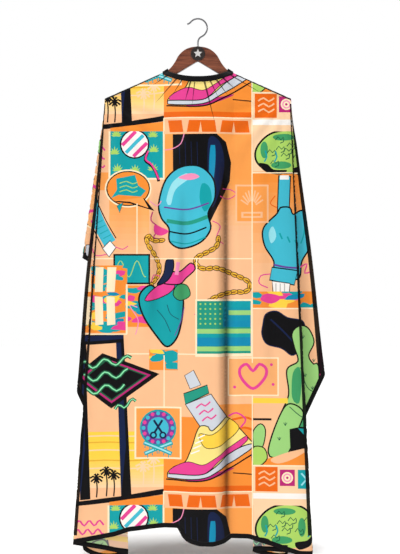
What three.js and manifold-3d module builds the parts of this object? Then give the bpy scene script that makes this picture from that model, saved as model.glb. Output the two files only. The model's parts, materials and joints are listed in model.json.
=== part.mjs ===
// A barber cape hanging on a wooden coat hanger. Millimetres, +Z up, front of the cape towards -Y.
// The origin is the point inside the top of the hook that rests on a rail.
//
// The cape is one cut of printed cloth. It hangs in panels: a front, a pleated fall at each shoulder
// and two short back panels with the opening between them. A stretch binding runs round the neck and
// every edge, and the band closes behind the neck with a snap tab.
import * as THREE from "three";
import { mergeVertices } from "three/addons/utils/BufferGeometryUtils.js";
import Module from "manifold-3d";

const wasm = await Module();
wasm.setup();

const gap = 0.3; // between pieces that touch

// ---- hanger ----------------------------------------------------------------
const hangerHalf = 215; // centre to the end of an arm
const hangerThick = 14;
const crownTop = -64.6; // top of the wood, below the rail
const crownApex = -99; // peak of the notch under the crown
const neckX = 75.8; // where the crown runs out into the arm
const neckTop = -125;
const armSlope = THREE.MathUtils.degToRad(24);
const armRise = 24.5; // height of the arm's end
const woodEase = 1.2; // bevel on the wood's edges

// ---- hook ------------------------------------------------------------------
const wireR = 1.9;
const bendR = 22; // middle of the wire
const swivelPlay = 0.3; // all round the shank, so that it turns
const ferruleR = 3.2;
const ferruleLength = 14;
const flangeR = 5;
const flangeThick = 1.2;
const recessR = 4.6;
const recessDepth = 8;
const washerThick = 1.2;
const headR = 3.4; // the shank's upset end
const headHeight = 2.6;

// ---- badge -----------------------------------------------------------------
const badgeR = 16.8;
const badgeThick = 2;
const emblemR = 10.5;
const emblemThick = 0.7;

// ---- cloth -----------------------------------------------------------------
const cloth = 1.6; // a panel's thickness, with its small folds
const bandThick = 2.2;
const bandHeight = 14; // width of the neck band
const bindingWidth = 11;
const bindingThick = 2.8;
const lay = 2; // the cloth's height above the wood it lies on
const neckDrop = 27; // how far the front of the band sags below the arms
const backDrop = 66; // the same behind
const edgeInset = 0.2; // half the gap between neighbouring panels

// ---- snap closure ----------------------------------------------------------
const tabThick = 1.4;
const tabRoot = -34; // x of the fold that the tab turns on
const tabEnd = 12;
const underlapEnd = -30;
const firstStud = -20;
const snapPitch = 20;
const snapCapR = 5.4;
const snapR = 4.8;
const nubR = 1.9;
const nubPlay = 0.8;
const studBase = 1;
const socketDepth = 1.7;
const capThick = 1;

// ============================ helpers =======================================
const degrees = THREE.MathUtils.degToRad;

function solidFrom(geometry) {
  const bare = geometry.index ? geometry.toNonIndexed() : geometry.clone();
  bare.deleteAttribute("normal");
  bare.deleteAttribute("uv");
  const merged = mergeVertices(bare, 1e-3);
  const mesh = new wasm.Mesh({
    numProp: 3,
    vertProperties: new Float32Array(merged.attributes.position.array),
    triVerts: new Uint32Array(merged.index.array),
  });
  return new wasm.Manifold(mesh);
}

function geometryFrom(solid) {
  const mesh = solid.getMesh();
  const geometry = new THREE.BufferGeometry();
  geometry.setAttribute("position", new THREE.BufferAttribute(mesh.vertProperties, 3));
  geometry.setIndex(new THREE.BufferAttribute(mesh.triVerts, 1));
  geometry.computeVertexNormals();
  return geometry;
}

const up = new THREE.Vector3(0, 0, 1);
const front = new THREE.Vector3(0, -1, 0);
const back = new THREE.Vector3(0, 1, 0);

// A solid of revolution. The profile is [radius, height] pairs, with the heights measured toward a direction.
function turned(profile, sides, toward = up) {
  const geometry = new THREE.LatheGeometry(profile.map(([r, h]) => new THREE.Vector2(r, h)), sides);
  return geometry.applyQuaternion(new THREE.Quaternion().setFromUnitVectors(new THREE.Vector3(0, 1, 0), toward));
}

// A ring about Z between two radii.
function ring(inner, outer, low, high, sides) {
  return turned(
    [
      [inner, low],
      [outer, low],
      [outer, high],
      [inner, high],
      [inner, low],
    ],
    sides,
  );
}

function disc(radius, low, high, sides) {
  return turned(
    [
      [0, low],
      [radius, low],
      [radius, high],
      [0, high],
    ],
    sides,
  );
}

// A closed solid between two grids of points of the same shape, grid[row][column].
function shellSolid(innerGrid, outerGrid) {
  const rows = innerGrid.length;
  const columns = innerGrid[0].length;
  const position = [...innerGrid.flat(), ...outerGrid.flat()].flatMap((p) => [p.x, p.y, p.z]);
  const inner = (r, c) => r * columns + c;
  const outer = (r, c) => rows * columns + r * columns + c;
  const index = [];
  const quad = (a, b, c, d) => index.push(a, b, c, a, c, d);
  for (let r = 0; r < rows - 1; r++) {
    for (let c = 0; c < columns - 1; c++) {
      quad(inner(r, c), inner(r, c + 1), inner(r + 1, c + 1), inner(r + 1, c));
      quad(outer(r, c), outer(r + 1, c), outer(r + 1, c + 1), outer(r, c + 1));
    }
  }
  const [lastRow, lastColumn] = [rows - 1, columns - 1];
  for (let c = 0; c < lastColumn; c++) {
    quad(outer(0, c), outer(0, c + 1), inner(0, c + 1), inner(0, c));
    quad(inner(lastRow, c + 1), outer(lastRow, c + 1), outer(lastRow, c), inner(lastRow, c));
  }
  for (let r = 0; r < lastRow; r++) {
    quad(inner(r + 1, 0), outer(r + 1, 0), outer(r, 0), inner(r, 0));
    quad(outer(r, lastColumn), outer(r + 1, lastColumn), inner(r + 1, lastColumn), inner(r, lastColumn));
  }
  const geometry = new THREE.BufferGeometry();
  geometry.setAttribute("position", new THREE.Float32BufferAttribute(position, 3));
  geometry.setIndex(index);
  if (signedVolume(geometry) < 0) geometry.setIndex(index.reverse());
  geometry.computeVertexNormals();
  return geometry;
}

function signedVolume(geometry) {
  const position = geometry.attributes.position;
  const [a, b, c] = [new THREE.Vector3(), new THREE.Vector3(), new THREE.Vector3()];
  let volume = 0;
  for (let i = 0; i < geometry.index.count; i += 3) {
    a.fromBufferAttribute(position, geometry.index.getX(i));
    b.fromBufferAttribute(position, geometry.index.getX(i + 1));
    c.fromBufferAttribute(position, geometry.index.getX(i + 2));
    volume += a.dot(b.cross(c)) / 6;
  }
  return volume;
}

const cape = new THREE.Group();

function add(name, geometry, material) {
  const mesh = new THREE.Mesh(geometry, material);
  mesh.name = name;
  cape.add(mesh);
  return mesh;
}

// ============================ materials =====================================
const material = (color, roughness, metalness = 0) =>
  new THREE.MeshStandardMaterial({ color, roughness, metalness });
const wood = material(0x82402a, 0.45);
const steel = material(0x8d8f92, 0.25, 1);
const brass = material(0x9a9388, 0.35, 1);
const badgeBlack = material(0x1c1512, 0.35);
const emblemWhite = material(0xeeeeee, 0.4);
const printedCloth = material(0xf2a765, 0.6);
const bindingBlack = material(0x0c0b0c, 0.7);
const snapMetal = material(0x55575a, 0.3, 1);

// ============================ hanger ========================================
const armTop = (x) => neckTop - (Math.abs(x) - neckX) * Math.tan(armSlope);
const runOut = neckX + 6;
const flat = (x, z) => new THREE.Vector2(x, z);
// The crown's upper edge, from its middle to where it has become the straight arm.
const crownCurves = [
  new THREE.CubicBezierCurve(flat(0, crownTop), flat(22, crownTop), flat(36, -72.6), flat(47, -88)),
  new THREE.CubicBezierCurve(flat(47, -88), flat(55, -103), flat(62, -118), flat(runOut, armTop(runOut))),
];
const crownPoints = [...crownCurves[0].getPoints(10), ...crownCurves[1].getPoints(10).slice(1)];

// The height of the wood's upper edge at x.
function woodTop(x) {
  const from = Math.abs(x);
  if (from >= runOut) return armTop(from);
  const i = crownPoints.findIndex((p) => p.x > from);
  const [p, q] = [crownPoints[i - 1], crownPoints[i]];
  return THREE.MathUtils.mapLinear(from, p.x, q.x, p.y, q.y);
}

// Both arms and the notch between them, as one closed outline.
function hangerOutline() {
  const tipTop = armTop(hangerHalf);
  const tipBottom = tipTop - armRise;
  const endR = armRise / 2;
  const end = new THREE.QuadraticBezierCurve(
    flat(hangerHalf - endR, armTop(hangerHalf - endR)),
    flat(hangerHalf, tipTop),
    flat(hangerHalf, tipTop - endR),
  );
  const heel = new THREE.QuadraticBezierCurve(
    flat(hangerHalf, tipTop - endR),
    flat(hangerHalf, tipBottom),
    flat(hangerHalf - endR, tipBottom + 4),
  );
  const half = [
    ...crownPoints.slice(1),
    ...end.getPoints(5),
    ...heel.getPoints(5).slice(1),
    flat(70, -141),
    flat(3, crownApex - 1.4),
  ];
  const mirrored = half.map((p) => flat(-p.x, p.y)).reverse();
  return new THREE.Shape([crownPoints[0], ...half, flat(0, crownApex), ...mirrored]);
}

const flangeSeat = crownTop - 0.8; // a flat spot faced on the crown
const ferruleEnd = flangeSeat - ferruleLength;
const recessTop = crownApex + recessDepth - 2;

function hangerBody() {
  const blank = new THREE.ExtrudeGeometry(hangerOutline(), {
    depth: hangerThick - 2 * woodEase,
    bevelEnabled: true,
    bevelThickness: woodEase,
    bevelSize: woodEase,
    bevelOffset: -woodEase,
    bevelSegments: 1,
    curveSegments: 8,
  });
  blank.translate(0, 0, -(hangerThick / 2 - woodEase));
  blank.rotateX(Math.PI / 2);
  const shankHole = disc(wireR + swivelPlay, crownApex - 10, crownTop + 10, 16);
  const ferruleHole = disc(ferruleR + gap, ferruleEnd - gap, crownTop + 10, 16);
  const seat = disc(flangeR + gap, flangeSeat, crownTop + 10, 16);
  const recess = disc(recessR, crownApex - 10, recessTop, 16);
  let solid = solidFrom(blank);
  for (const cut of [shankHole, ferruleHole, seat, recess]) solid = solid.subtract(solidFrom(cut));
  return geometryFrom(solid);
}
add("hanger_body", hangerBody(), wood);

// A turned collar pressed into the crown, which the shank turns in.
function ferrule() {
  const bore = wireR + swivelPlay;
  const low = ferruleEnd;
  const seat = flangeSeat + gap;
  return turned(
    [
      [bore, low],
      [ferruleR, low],
      [ferruleR, seat],
      [flangeR, seat],
      [flangeR, seat + flangeThick],
      [bore, seat + flangeThick],
      [bore, low],
    ],
    20,
  );
}
add("hook_ferrule", ferrule(), brass);

const washerTop = recessTop - gap;
add("hook_washer", ring(wireR + swivelPlay, recessR - gap, washerTop - washerThick, washerTop, 16), steel);

// ============================ hook ==========================================
// The wire's path in the XZ plane: a flared tip, the bend over the rail, a counter-bend and the shank.
function hookPoints() {
  const centre = new THREE.Vector2(0, wireR - bendR);
  const points = [];
  const arc = (middle, radius, from, to, steps) => {
    for (let i = 0; i <= steps; i++) {
      const a = degrees(from + ((to - from) * i) / steps);
      const p = new THREE.Vector2(middle.x + radius * Math.cos(a), middle.y + radius * Math.sin(a));
      if (!points.length || p.distanceTo(points[points.length - 1]) > 0.5) points.push(p);
    }
  };
  const tipFrom = 140;
  const tipR = 15;
  const tipTurn = 38;
  const outward = new THREE.Vector2(Math.cos(degrees(tipFrom)), Math.sin(degrees(tipFrom)));
  const tipCentre = centre.clone().addScaledVector(outward, bendR + tipR);
  arc(tipCentre, tipR, tipFrom - 180 - tipTurn, tipFrom - 180, 6);
  const leave = -65;
  arc(centre, bendR, tipFrom, leave, 26);
  // The counter-bend brings the wire back under the bend's centre.
  const exit = new THREE.Vector2(bendR * Math.cos(degrees(leave)), centre.y + bendR * Math.sin(degrees(leave)));
  const counterR = exit.x / (1 - Math.cos(degrees(leave)));
  arc(new THREE.Vector2(counterR, exit.y - counterR * Math.sin(degrees(-leave))), counterR, 180 + leave, 180, 7);
  const headTop = washerTop - washerThick - gap;
  const start = points[points.length - 1].y;
  for (let i = 1; i <= 4; i++) points.push(new THREE.Vector2(0, start + ((headTop - 1 - start) * i) / 4));
  return points.map((p) => new THREE.Vector3(p.x, 0, p.y));
}

function hook() {
  const path = new THREE.CatmullRomCurve3(hookPoints());
  const section = new THREE.Shape(
    Array.from({ length: 10 }, (_, i) => {
      const a = (i * Math.PI) / 5;
      return new THREE.Vector2(wireR * Math.cos(a), wireR * Math.sin(a));
    }),
  );
  const wire = new THREE.ExtrudeGeometry(section, { steps: 52, extrudePath: path, bevelEnabled: false });
  const headTop = washerTop - washerThick - gap;
  const head = turned(
    [
      [0, headTop - headHeight],
      [headR * 0.6, headTop - headHeight],
      [headR, headTop - headHeight * 0.5],
      [headR, headTop],
      [0, headTop],
    ],
    16,
  );
  return geometryFrom(solidFrom(wire).add(solidFrom(head)));
}
add("hook", hook(), steel);

// ============================ badge =========================================
const badgeZ = (crownTop + crownApex) / 2;
const woodFace = -hangerThick / 2;

function badge() {
  const geometry = turned(
    [
      [0, 0],
      [badgeR, 0],
      [badgeR, badgeThick - 0.6],
      [badgeR - 0.6, badgeThick],
      [0, badgeThick],
    ],
    36,
    front,
  );
  return geometry.translate(0, woodFace - gap, badgeZ);
}
add("hanger_badge", badge(), badgeBlack);

// A plain five-pointed star.
function emblem() {
  const star = new THREE.Shape(
    Array.from({ length: 10 }, (_, i) => {
      const r = i % 2 ? emblemR * 0.46 : emblemR;
      const a = Math.PI / 2 + (i * Math.PI) / 5;
      return new THREE.Vector2(r * Math.cos(a), r * Math.sin(a));
    }),
  );
  const geometry = new THREE.ExtrudeGeometry(star, { depth: emblemThick, bevelEnabled: false });
  geometry.rotateX(Math.PI / 2);
  return geometry.translate(0, woodFace - badgeThick - 2 * gap, badgeZ);
}
add("badge_emblem", emblem(), emblemWhite);

// ============================ cloth =========================================
// The neckline. It is level across the closure at the back, and meets the arms at bandInnerX.
const bandInnerX = 69;
const bandOuterX = bandInnerX + bandHeight;
const closureHalf = 46;
const neckReach = 14; // how far the band stands off the arms, back and front
const neckEase = 3; // the power of the sag's curve

function neckEdge(x, halfWidth, extra, front) {
  const share = Math.min(1, Math.abs(x) / halfWidth);
  const level = woodTop(bandInnerX) - 5 - extra * 0.4;
  const drop = (front ? neckDrop : backDrop) - 14 + extra * 0.6;
  const flatShare = front ? 0 : closureHalf / bandInnerX;
  const past = Math.max(0, share - flatShare) / (1 - flatShare);
  const y = hangerThick / 2 + lay + extra * 0.04 + (neckReach + extra * 0.1) * (1 - Math.pow(past, neckEase));
  return new THREE.Vector3(x, front ? -y : y, level - drop * (1 - Math.pow(share, 2.4)));
}
const innerEdge = (x, front) => neckEdge(x, bandInnerX, 0, front);
const outerEdge = (x, front) => neckEdge(x, bandOuterX, bandHeight, front);
const ridge = (x) => woodTop(x) + lay;

// Every fold line of the hanging cloth, from the left edge of the back opening round the front to
// its right edge. at says where it starts: a neckline x, an arm x, or an angle round an arm's end.
// hem is where it ends, and flare bends it outward on the way down.
const neck = (x, front) => ({ kind: "neck", x, front });
const shoulder = (side, front) => ({ kind: "shoulder", x: side * (bandOuterX + 2.5), front });
const arm = (x, front) => ({ kind: "arm", x, front });
const tip = (side, angle) => ({ kind: "tip", side, angle });
const backHem = -578;
const rails = [
  { at: neck(-7, false), hem: [-9, 50, backHem] },
  { at: neck(-53, false), hem: [-72, 46, backHem - 2] },
  { at: neck(-bandOuterX, false), hem: [-106, 60, backHem - 4] },
  { at: shoulder(-1, false), hem: [-112, 62, backHem - 4] },
  { at: arm(-92, false), hem: [-124, 62, backHem - 4] },
  { at: arm(-150, false), hem: [-186, 50, backHem - 4] },
  { at: arm(-204, false), hem: [-244, 46, backHem - 4] },
  { at: tip(-1, 60), hem: [-276, 46, backHem + 5], flare: 0.95 }, // back crease
  { at: tip(-1, 50), hem: [-277, 39, backHem + 7], flare: 0.95 },
  { at: tip(-1, 32), hem: [-206, 30, -690] },
  { at: tip(-1, 20), hem: [-205, 17, -712] },
  { at: tip(-1, 0), hem: [-289, 9, -872], flare: 1.05 }, // outer fold
  { at: tip(-1, -10), hem: [-290, 2, -884], flare: 1.05 },
  { at: tip(-1, -26), hem: [-214, -5, -1090] },
  { at: tip(-1, -40), hem: [-158, -10, -1250] }, // the flap that shows under the front hem
  { at: tip(-1, -52), hem: [-156, -26, -1262] },
  { at: tip(-1, -70), hem: [-297, -61, -1231], flare: 1.5 }, // front crease
  { at: tip(-1, -80), hem: [-297, -69, -1230], flare: 1.5 },
  { at: arm(-165, true), hem: [-226, -56, -1216], flare: 1.25 },
  { at: arm(-120, true), hem: [-162, -42, -1206], flare: 1.15 },
  { at: arm(-92, true), hem: [-118, -34, -1194] },
  { at: shoulder(-1, true), hem: [-108, -32, -1193] },
  { at: neck(-bandOuterX, true), hem: [-100, -31, -1192] },
  { at: neck(-57, true), hem: [-52, -34, -1195] },
  { at: neck(-30, true), hem: [-28, -62, -1220] },
  { at: neck(0, true), hem: [2, -86, -1235] },
  { at: neck(30, true), hem: [40, -88, -1237] },
  { at: neck(56, true), hem: [68, -64, -1227] },
  { at: neck(bandOuterX, true), hem: [93, -42, -1218] },
  { at: shoulder(1, true), hem: [101, -40, -1219] },
  { at: arm(92, true), hem: [112, -40, -1220] },
  { at: arm(120, true), hem: [140, -42, -1225], flare: 1.15 },
  { at: arm(165, true), hem: [204, -54, -1243], flare: 1.2 },
  { at: tip(1, -80), hem: [275, -69, -1257], flare: 1.3 }, // front crease
  { at: tip(1, -70), hem: [275, -61, -1256], flare: 1.3 },
  { at: tip(1, -52), hem: [196, -28, -1186] },
  { at: tip(1, -40), hem: [198, -14, -1172] },
  { at: tip(1, -26), hem: [256, -4, -980] },
  { at: tip(1, -10), hem: [307, 2, -820], flare: 1.05 }, // outer fold
  { at: tip(1, 0), hem: [306, 9, -806], flare: 1.05 },
  { at: tip(1, 20), hem: [222, 17, -712] },
  { at: tip(1, 32), hem: [220, 30, -690] },
  { at: tip(1, 50), hem: [259, 39, backHem - 7] }, // back crease
  { at: tip(1, 60), hem: [258, 46, backHem - 8] },
  { at: arm(204, false), hem: [222, 44, backHem - 4] },
  { at: arm(150, false), hem: [172, 50, backHem - 4] },
  { at: arm(92, false), hem: [118, 60, backHem - 4] },
  { at: shoulder(1, false), hem: [108, 60, backHem - 4] },
  { at: neck(bandOuterX, false), hem: [101, 58, backHem - 4] },
  { at: neck(53, false), hem: [66, 46, backHem - 2] },
  { at: neck(7, false), hem: [9, 49, backHem] },
];
// The panels meet in the middle of a crease.
const leftBack = 7.5;
const leftFront = 16.5;
const rightFront = 33.5;
const rightBack = 42.5;
const lastRail = rails.length - 1;

// The points of a fold line that lie on the hanger, down to where it starts to fall.
function railHead({ at }) {
  const face = hangerThick / 2;
  const side = at.front ? -1 : 1;
  if (at.kind === "neck") {
    const top = outerEdge(at.x, at.front).add(new THREE.Vector3(0, 0, -1));
    return [0, 5, 10].map((drop) => top.clone().add(new THREE.Vector3(0, 0, -drop)));
  }
  if (at.kind === "shoulder") {
    return [0, 5, 10].map((drop) => new THREE.Vector3(at.x, side * (face + 3), ridge(at.x) - drop));
  }
  if (at.kind === "arm") {
    return [
      new THREE.Vector3(at.x, side * edgeInset, ridge(at.x)),
      new THREE.Vector3(at.x, side * (face - 0.6), ridge(at.x)),
      new THREE.Vector3(at.x, side * (face + 2.4), ridge(at.x) - 6),
    ];
  }
  const a = degrees(at.angle);
  const round = (radius, drop) =>
    new THREE.Vector3(
      at.side * (hangerHalf - 4 + radius * Math.cos(a)),
      radius * Math.sin(a),
      ridge(hangerHalf - 4) - drop,
    );
  return [round(2.2, 0), round(face + 0.6, 1.2), round(face + 4, 8)];
}

const railPaths = rails.map((rail) => ({
  head: railHead(rail),
  hem: new THREE.Vector3(...rail.hem),
  flare: rail.flare ?? 1,
}));
const fallLength = railPaths.map(({ head, hem }) => head[2].distanceTo(hem));

// A place on the cloth. u is a fold line's number and may lie between two; v runs from -2 at the
// cloth's upper edge through 0, where it leaves the wood, to 1 at the hem.
function clothPoint(u, v) {
  const points = railPaths.map(({ head, hem, flare }) => {
    if (v <= 0) {
      const row = Math.min(1, Math.floor(v + 2));
      return head[row].clone().lerp(head[row + 1], v + 2 - row);
    }
    const from = head[2];
    return new THREE.Vector3(
      THREE.MathUtils.lerp(from.x, hem.x, Math.pow(v, flare)),
      THREE.MathUtils.lerp(from.y, hem.y, v),
      THREE.MathUtils.lerp(from.z, hem.z, v),
    );
  });
  return new THREE.CatmullRomCurve3(points, false, "centripetal").getPoint(u / lastRail);
}

// The same place with the direction along the cloth and the way its printed side faces.
function clothFrame(u, v) {
  const step = 0.02;
  const point = clothPoint(u, v);
  const along = clothPoint(Math.min(lastRail, u + step), v).sub(clothPoint(Math.max(0, u - step), v)).normalize();
  const down = clothPoint(u, Math.min(1, v + step)).sub(clothPoint(u, Math.max(-2, v - step)));
  return { point, along, normal: down.cross(along).normalize() };
}

// How far up the fall a strip of this width reaches, measured square to the hem.
function shareOf(width, u) {
  const n = Math.min(lastRail - 1, Math.floor(u));
  const length = THREE.MathUtils.lerp(fallLength[n], fallLength[n + 1], u - n);
  const fall = clothPoint(u, 1).sub(clothPoint(u, 0.9)).normalize();
  const square = fall.cross(clothFrame(u, 1).along).length();
  return width / (length * Math.max(0.3, square));
}

// A closed solid of part of the cloth. A row has its v and the v that gives the way it faces, as
// functions of u, and its thickness. side is -1 in front of the arms' ridge and 1 behind it, where a panel has one.
function clothSolid({ from, to, perRail, side = 0 }, rows) {
  const keep = (p) => (side ? p.setY(side * Math.max(edgeInset, side * p.y)) : p);
  const inner = [];
  const outer = [];
  const stations = [from];
  for (let i = Math.ceil((from + 0.1) * perRail); i < (to - 0.1) * perRail; i++) stations.push(i / perRail);
  stations.push(to);
  const columns = stations.length - 1;
  for (const { place, facing, thickness } of rows) {
    const line = stations.map((u) => clothPoint(u, place(u)));
    const end = (a, b) => {
      const inward = line[b].clone().sub(line[a]);
      line[a].addScaledVector(inward, Math.min(0.42, edgeInset / inward.length()));
    };
    end(0, 1);
    end(columns, columns - 1);
    inner.push(line.map(keep));
    outer.push(
      line.map((p, i) => {
        const { normal } = clothFrame(stations[i], facing(stations[i]));
        return keep(p.clone().addScaledVector(normal, thickness));
      }),
    );
  }
  return shellSolid(inner, outer);
}

const openingBinding = 0.19; // the share of the first fold that the opening's binding takes
const bodyRows = 6;
const seamGap = 0.4;
const hemStart = (u) => 1 - shareOf(bindingWidth, u);
const hemSeam = (u) => 1 - shareOf(bindingWidth - seamGap, u);
const row = (place, thickness, facing = place) => ({ place, facing, thickness });
const level = (v, thickness) => row(() => v, thickness);
const upperRows = (thickness) => [-2, -1, 0].map((v) => level(v, thickness));
const fallRows = Array.from({ length: bodyRows }, (_, i) => row((u) => (hemStart(u) * (i + 1)) / bodyRows, cloth));
const hemRows = [row(hemSeam, cloth, hemStart), level(1, bindingThick)];
const panels = [
  { name: "back_left", from: openingBinding, to: leftBack, perRail: 2, side: 1 },
  { name: "left_fall", from: leftBack, to: leftFront, perRail: 3 },
  { name: "front", from: leftFront, to: rightFront, perRail: 2, side: -1 },
  { name: "right_fall", from: rightFront, to: rightBack, perRail: 3 },
  { name: "back_right", from: rightBack, to: lastRail - openingBinding, perRail: 2, side: 1 },
];
for (const panel of panels) {
  const name = panel.side ? `${panel.name}_panel` : panel.name;
  add(name, clothSolid(panel, [...upperRows(cloth), ...fallRows]), printedCloth);
  add(`${panel.name}_hem`, clothSolid(panel, hemRows), bindingBlack);
}
const stripRows = [...upperRows(bindingThick), ...[0.2, 0.4, 0.6, 0.8, 1].map((v) => level(v, bindingThick))];
const strips = [
  { name: "opening_binding_left", from: 0, to: openingBinding, perRail: 1 },
  { name: "opening_binding_right", from: lastRail - openingBinding, to: lastRail, perRail: 1 },
];
for (const strip of strips) add(strip.name, clothSolid(strip, stripRows), bindingBlack);

// ============================ neck band =====================================
const wider = bandOuterX / bandInnerX;

// The band's edges, from its left end at the back, over the left arm, round the front and back again.
function bandEdges() {
  const edges = [];
  const steps = 5;
  const face = hangerThick / 2;
  const behind = (x) => edges.push([innerEdge(x, false), outerEdge(x * wider, false)]);
  const over = (side, y, lift) => {
    const edge = (x) => new THREE.Vector3(side * x, y, ridge(x) + lift);
    edges.push([edge(bandInnerX + 1), edge(bandOuterX)]);
  };
  const crossing = [[face + 1.2, -1], [face - 1.5, 0], [1.5 - face, 0], [-face - 1.2, -1]];
  for (let i = 0; i <= steps; i++) behind(-THREE.MathUtils.lerp(closureHalf, bandInnerX, i / steps));
  for (const [y, lift] of crossing) over(-1, y, lift);
  for (let i = 0; i <= 18; i++) {
    const x = bandInnerX * Math.sin(((i - 9) / 18) * Math.PI);
    edges.push([innerEdge(x, true), outerEdge(x * wider, true)]);
  }
  for (const [y, lift] of crossing.reverse()) over(1, y, lift);
  for (let i = 0; i <= steps; i++) behind(THREE.MathUtils.lerp(bandInnerX, closureHalf, i / steps));
  return edges;
}

function neckBand() {
  const edges = bandEdges();
  const inner = [[], []];
  const outer = [[], []];
  edges.forEach(([upper, lower], i) => {
    const [previous] = edges[Math.max(0, i - 1)];
    const [next] = edges[Math.min(edges.length - 1, i + 1)];
    const normal = lower.clone().sub(upper).cross(next.clone().sub(previous)).normalize();
    [upper, lower].forEach((p, row) => {
      inner[row].push(p);
      outer[row].push(p.clone().addScaledVector(normal, bandThick));
    });
  });
  return shellSolid(inner, outer);
}
add("neck_band", neckBand(), bindingBlack);

// ============================ snap closure ==================================
// From the hanger outwards: the underlap with its studs, then the tab with its sockets.
const underlapY = outerEdge(0, false).y - 0.8;
const studFace = underlapY + tabThick + gap;
const socketFace = studFace + studBase + gap;
const overlapY = socketFace + socketDepth + gap;
const tabAxisX = tabRoot - 0.3; // the line that the tab turns on is upright
const rootEnd = tabAxisX - 0.9;
const bandEndGap = 0.6;
const tabMargin = 1.6; // the tabs stop this far above the cloth

// A plate cut to the band's sag between two places along it.
function tabPlate(from, to, y, thickness, rounded) {
  const steps = 10;
  const along = Array.from({ length: steps + 1 }, (_, i) => THREE.MathUtils.lerp(from, to, i / steps));
  const upper = along.map((x) => flat(x, innerEdge(x, false).z));
  const lower = along.map((x) => flat(x, outerEdge(x * wider, false).z + tabMargin));
  const nose = Math.sign(to - from) * 4;
  const end = rounded ? [flat(to + nose, upper[steps].y - 4), flat(to + nose, lower[steps].y + 4)] : [];
  const shape = new THREE.Shape([...upper, ...end, ...lower.reverse()]);
  const geometry = new THREE.ExtrudeGeometry(shape, { depth: thickness, bevelEnabled: false });
  return geometry.rotateX(Math.PI / 2).translate(0, y + thickness, 0);
}

const bandEnd = closureHalf - bandEndGap;
add("underlap_tab", tabPlate(bandEnd, underlapEnd, underlapY, tabThick, true), bindingBlack);
add("tab_root", tabPlate(-bandEnd, rootEnd, underlapY, overlapY + tabThick - underlapY, false), bindingBlack);
add("closure_tab", tabPlate(tabRoot, tabEnd, overlapY, tabThick, true), bindingBlack);

const bandMiddle = (x) => (innerEdge(x, false).z + outerEdge(x * wider, false).z + tabMargin) / 2;

// The nub stands on a flat base and goes into the socket's hole.
function stud(x) {
  const reach = studBase + gap + socketDepth - 0.4;
  const profile = [[0, 0], [snapR, 0], [snapR, studBase], [nubR * 0.85, studBase]];
  profile.push([nubR, reach - 0.6], [nubR * 0.7, reach], [0, reach]);
  return turned(profile, 18, back).translate(x, studFace, bandMiddle(x));
}

function socket(x) {
  const hole = nubR + nubPlay;
  const profile = [[hole, 0], [snapR, 0], [snapR, socketDepth], [hole, socketDepth], [hole, 0]];
  return turned(profile, 18, back).translate(x, socketFace, bandMiddle(x));
}

function snapCap(x, y, toward) {
  const profile = [[0, 0], [snapCapR, 0], [snapCapR, capThick * 0.5], [snapCapR * 0.7, capThick], [0, capThick]];
  return turned(profile, 18, toward).translate(x, y, bandMiddle(x));
}

const studCount = 4; // rows that the tab can close on
const socketCount = 2;
for (let i = 0; i < studCount; i++) {
  const x = firstStud + i * snapPitch;
  add(`stud_${i + 1}`, stud(x), snapMetal);
  add(`stud_cap_${i + 1}`, snapCap(x, underlapY - gap, front), snapMetal);
}
for (let i = 0; i < socketCount; i++) {
  const x = firstStud + i * snapPitch;
  add(`socket_${i + 1}`, socket(x), snapMetal);
  add(`socket_cap_${i + 1}`, snapCap(x, overlapY + tabThick + gap, back), snapMetal);
}

export default cape;
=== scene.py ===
import json
import math
import random

import bpy
import numpy as np
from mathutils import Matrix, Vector
from mathutils.geometry import delaunay_2d_cdt


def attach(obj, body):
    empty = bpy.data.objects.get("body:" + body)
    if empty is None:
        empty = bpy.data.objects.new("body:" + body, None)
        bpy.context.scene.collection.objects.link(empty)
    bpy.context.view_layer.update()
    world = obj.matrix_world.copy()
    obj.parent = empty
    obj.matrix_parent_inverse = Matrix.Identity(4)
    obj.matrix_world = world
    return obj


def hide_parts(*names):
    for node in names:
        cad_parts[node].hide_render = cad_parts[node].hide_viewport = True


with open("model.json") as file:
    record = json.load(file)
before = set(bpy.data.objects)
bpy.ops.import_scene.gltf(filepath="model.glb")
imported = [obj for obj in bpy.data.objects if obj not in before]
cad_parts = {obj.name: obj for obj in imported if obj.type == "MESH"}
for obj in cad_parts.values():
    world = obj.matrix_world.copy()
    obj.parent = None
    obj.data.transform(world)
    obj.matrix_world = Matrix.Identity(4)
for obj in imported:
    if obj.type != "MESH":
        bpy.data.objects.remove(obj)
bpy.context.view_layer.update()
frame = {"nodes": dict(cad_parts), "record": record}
nodes = frame["nodes"]
scene = bpy.context.scene
print("scene: frame loaded")

# In metres and degrees.
cut = {
    "half width": 0.57,
    "front hem": -1.225,  # in the flat plane, whose heights match the hanging front's
    "back hem": 0.295,
    "corner radius": 0.11,
    "slit half width": 0.007,
    "neck half width": 0.083,
    "thickness": 0.0005,
    "grid": 0.0075,
}
hang = {
    "apex x": 0.2195,  # where the cloth leaves the end of an arm
    "arm top at neck": -0.123,
    "neck x": 0.0758,
    "arm slope": math.tan(math.radians(24)),
    "over arm": 0.0062,
    "stand off": 0.0096,
    "back hem at centre": -0.578,
    "back hem at side": -0.596,
}
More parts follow.
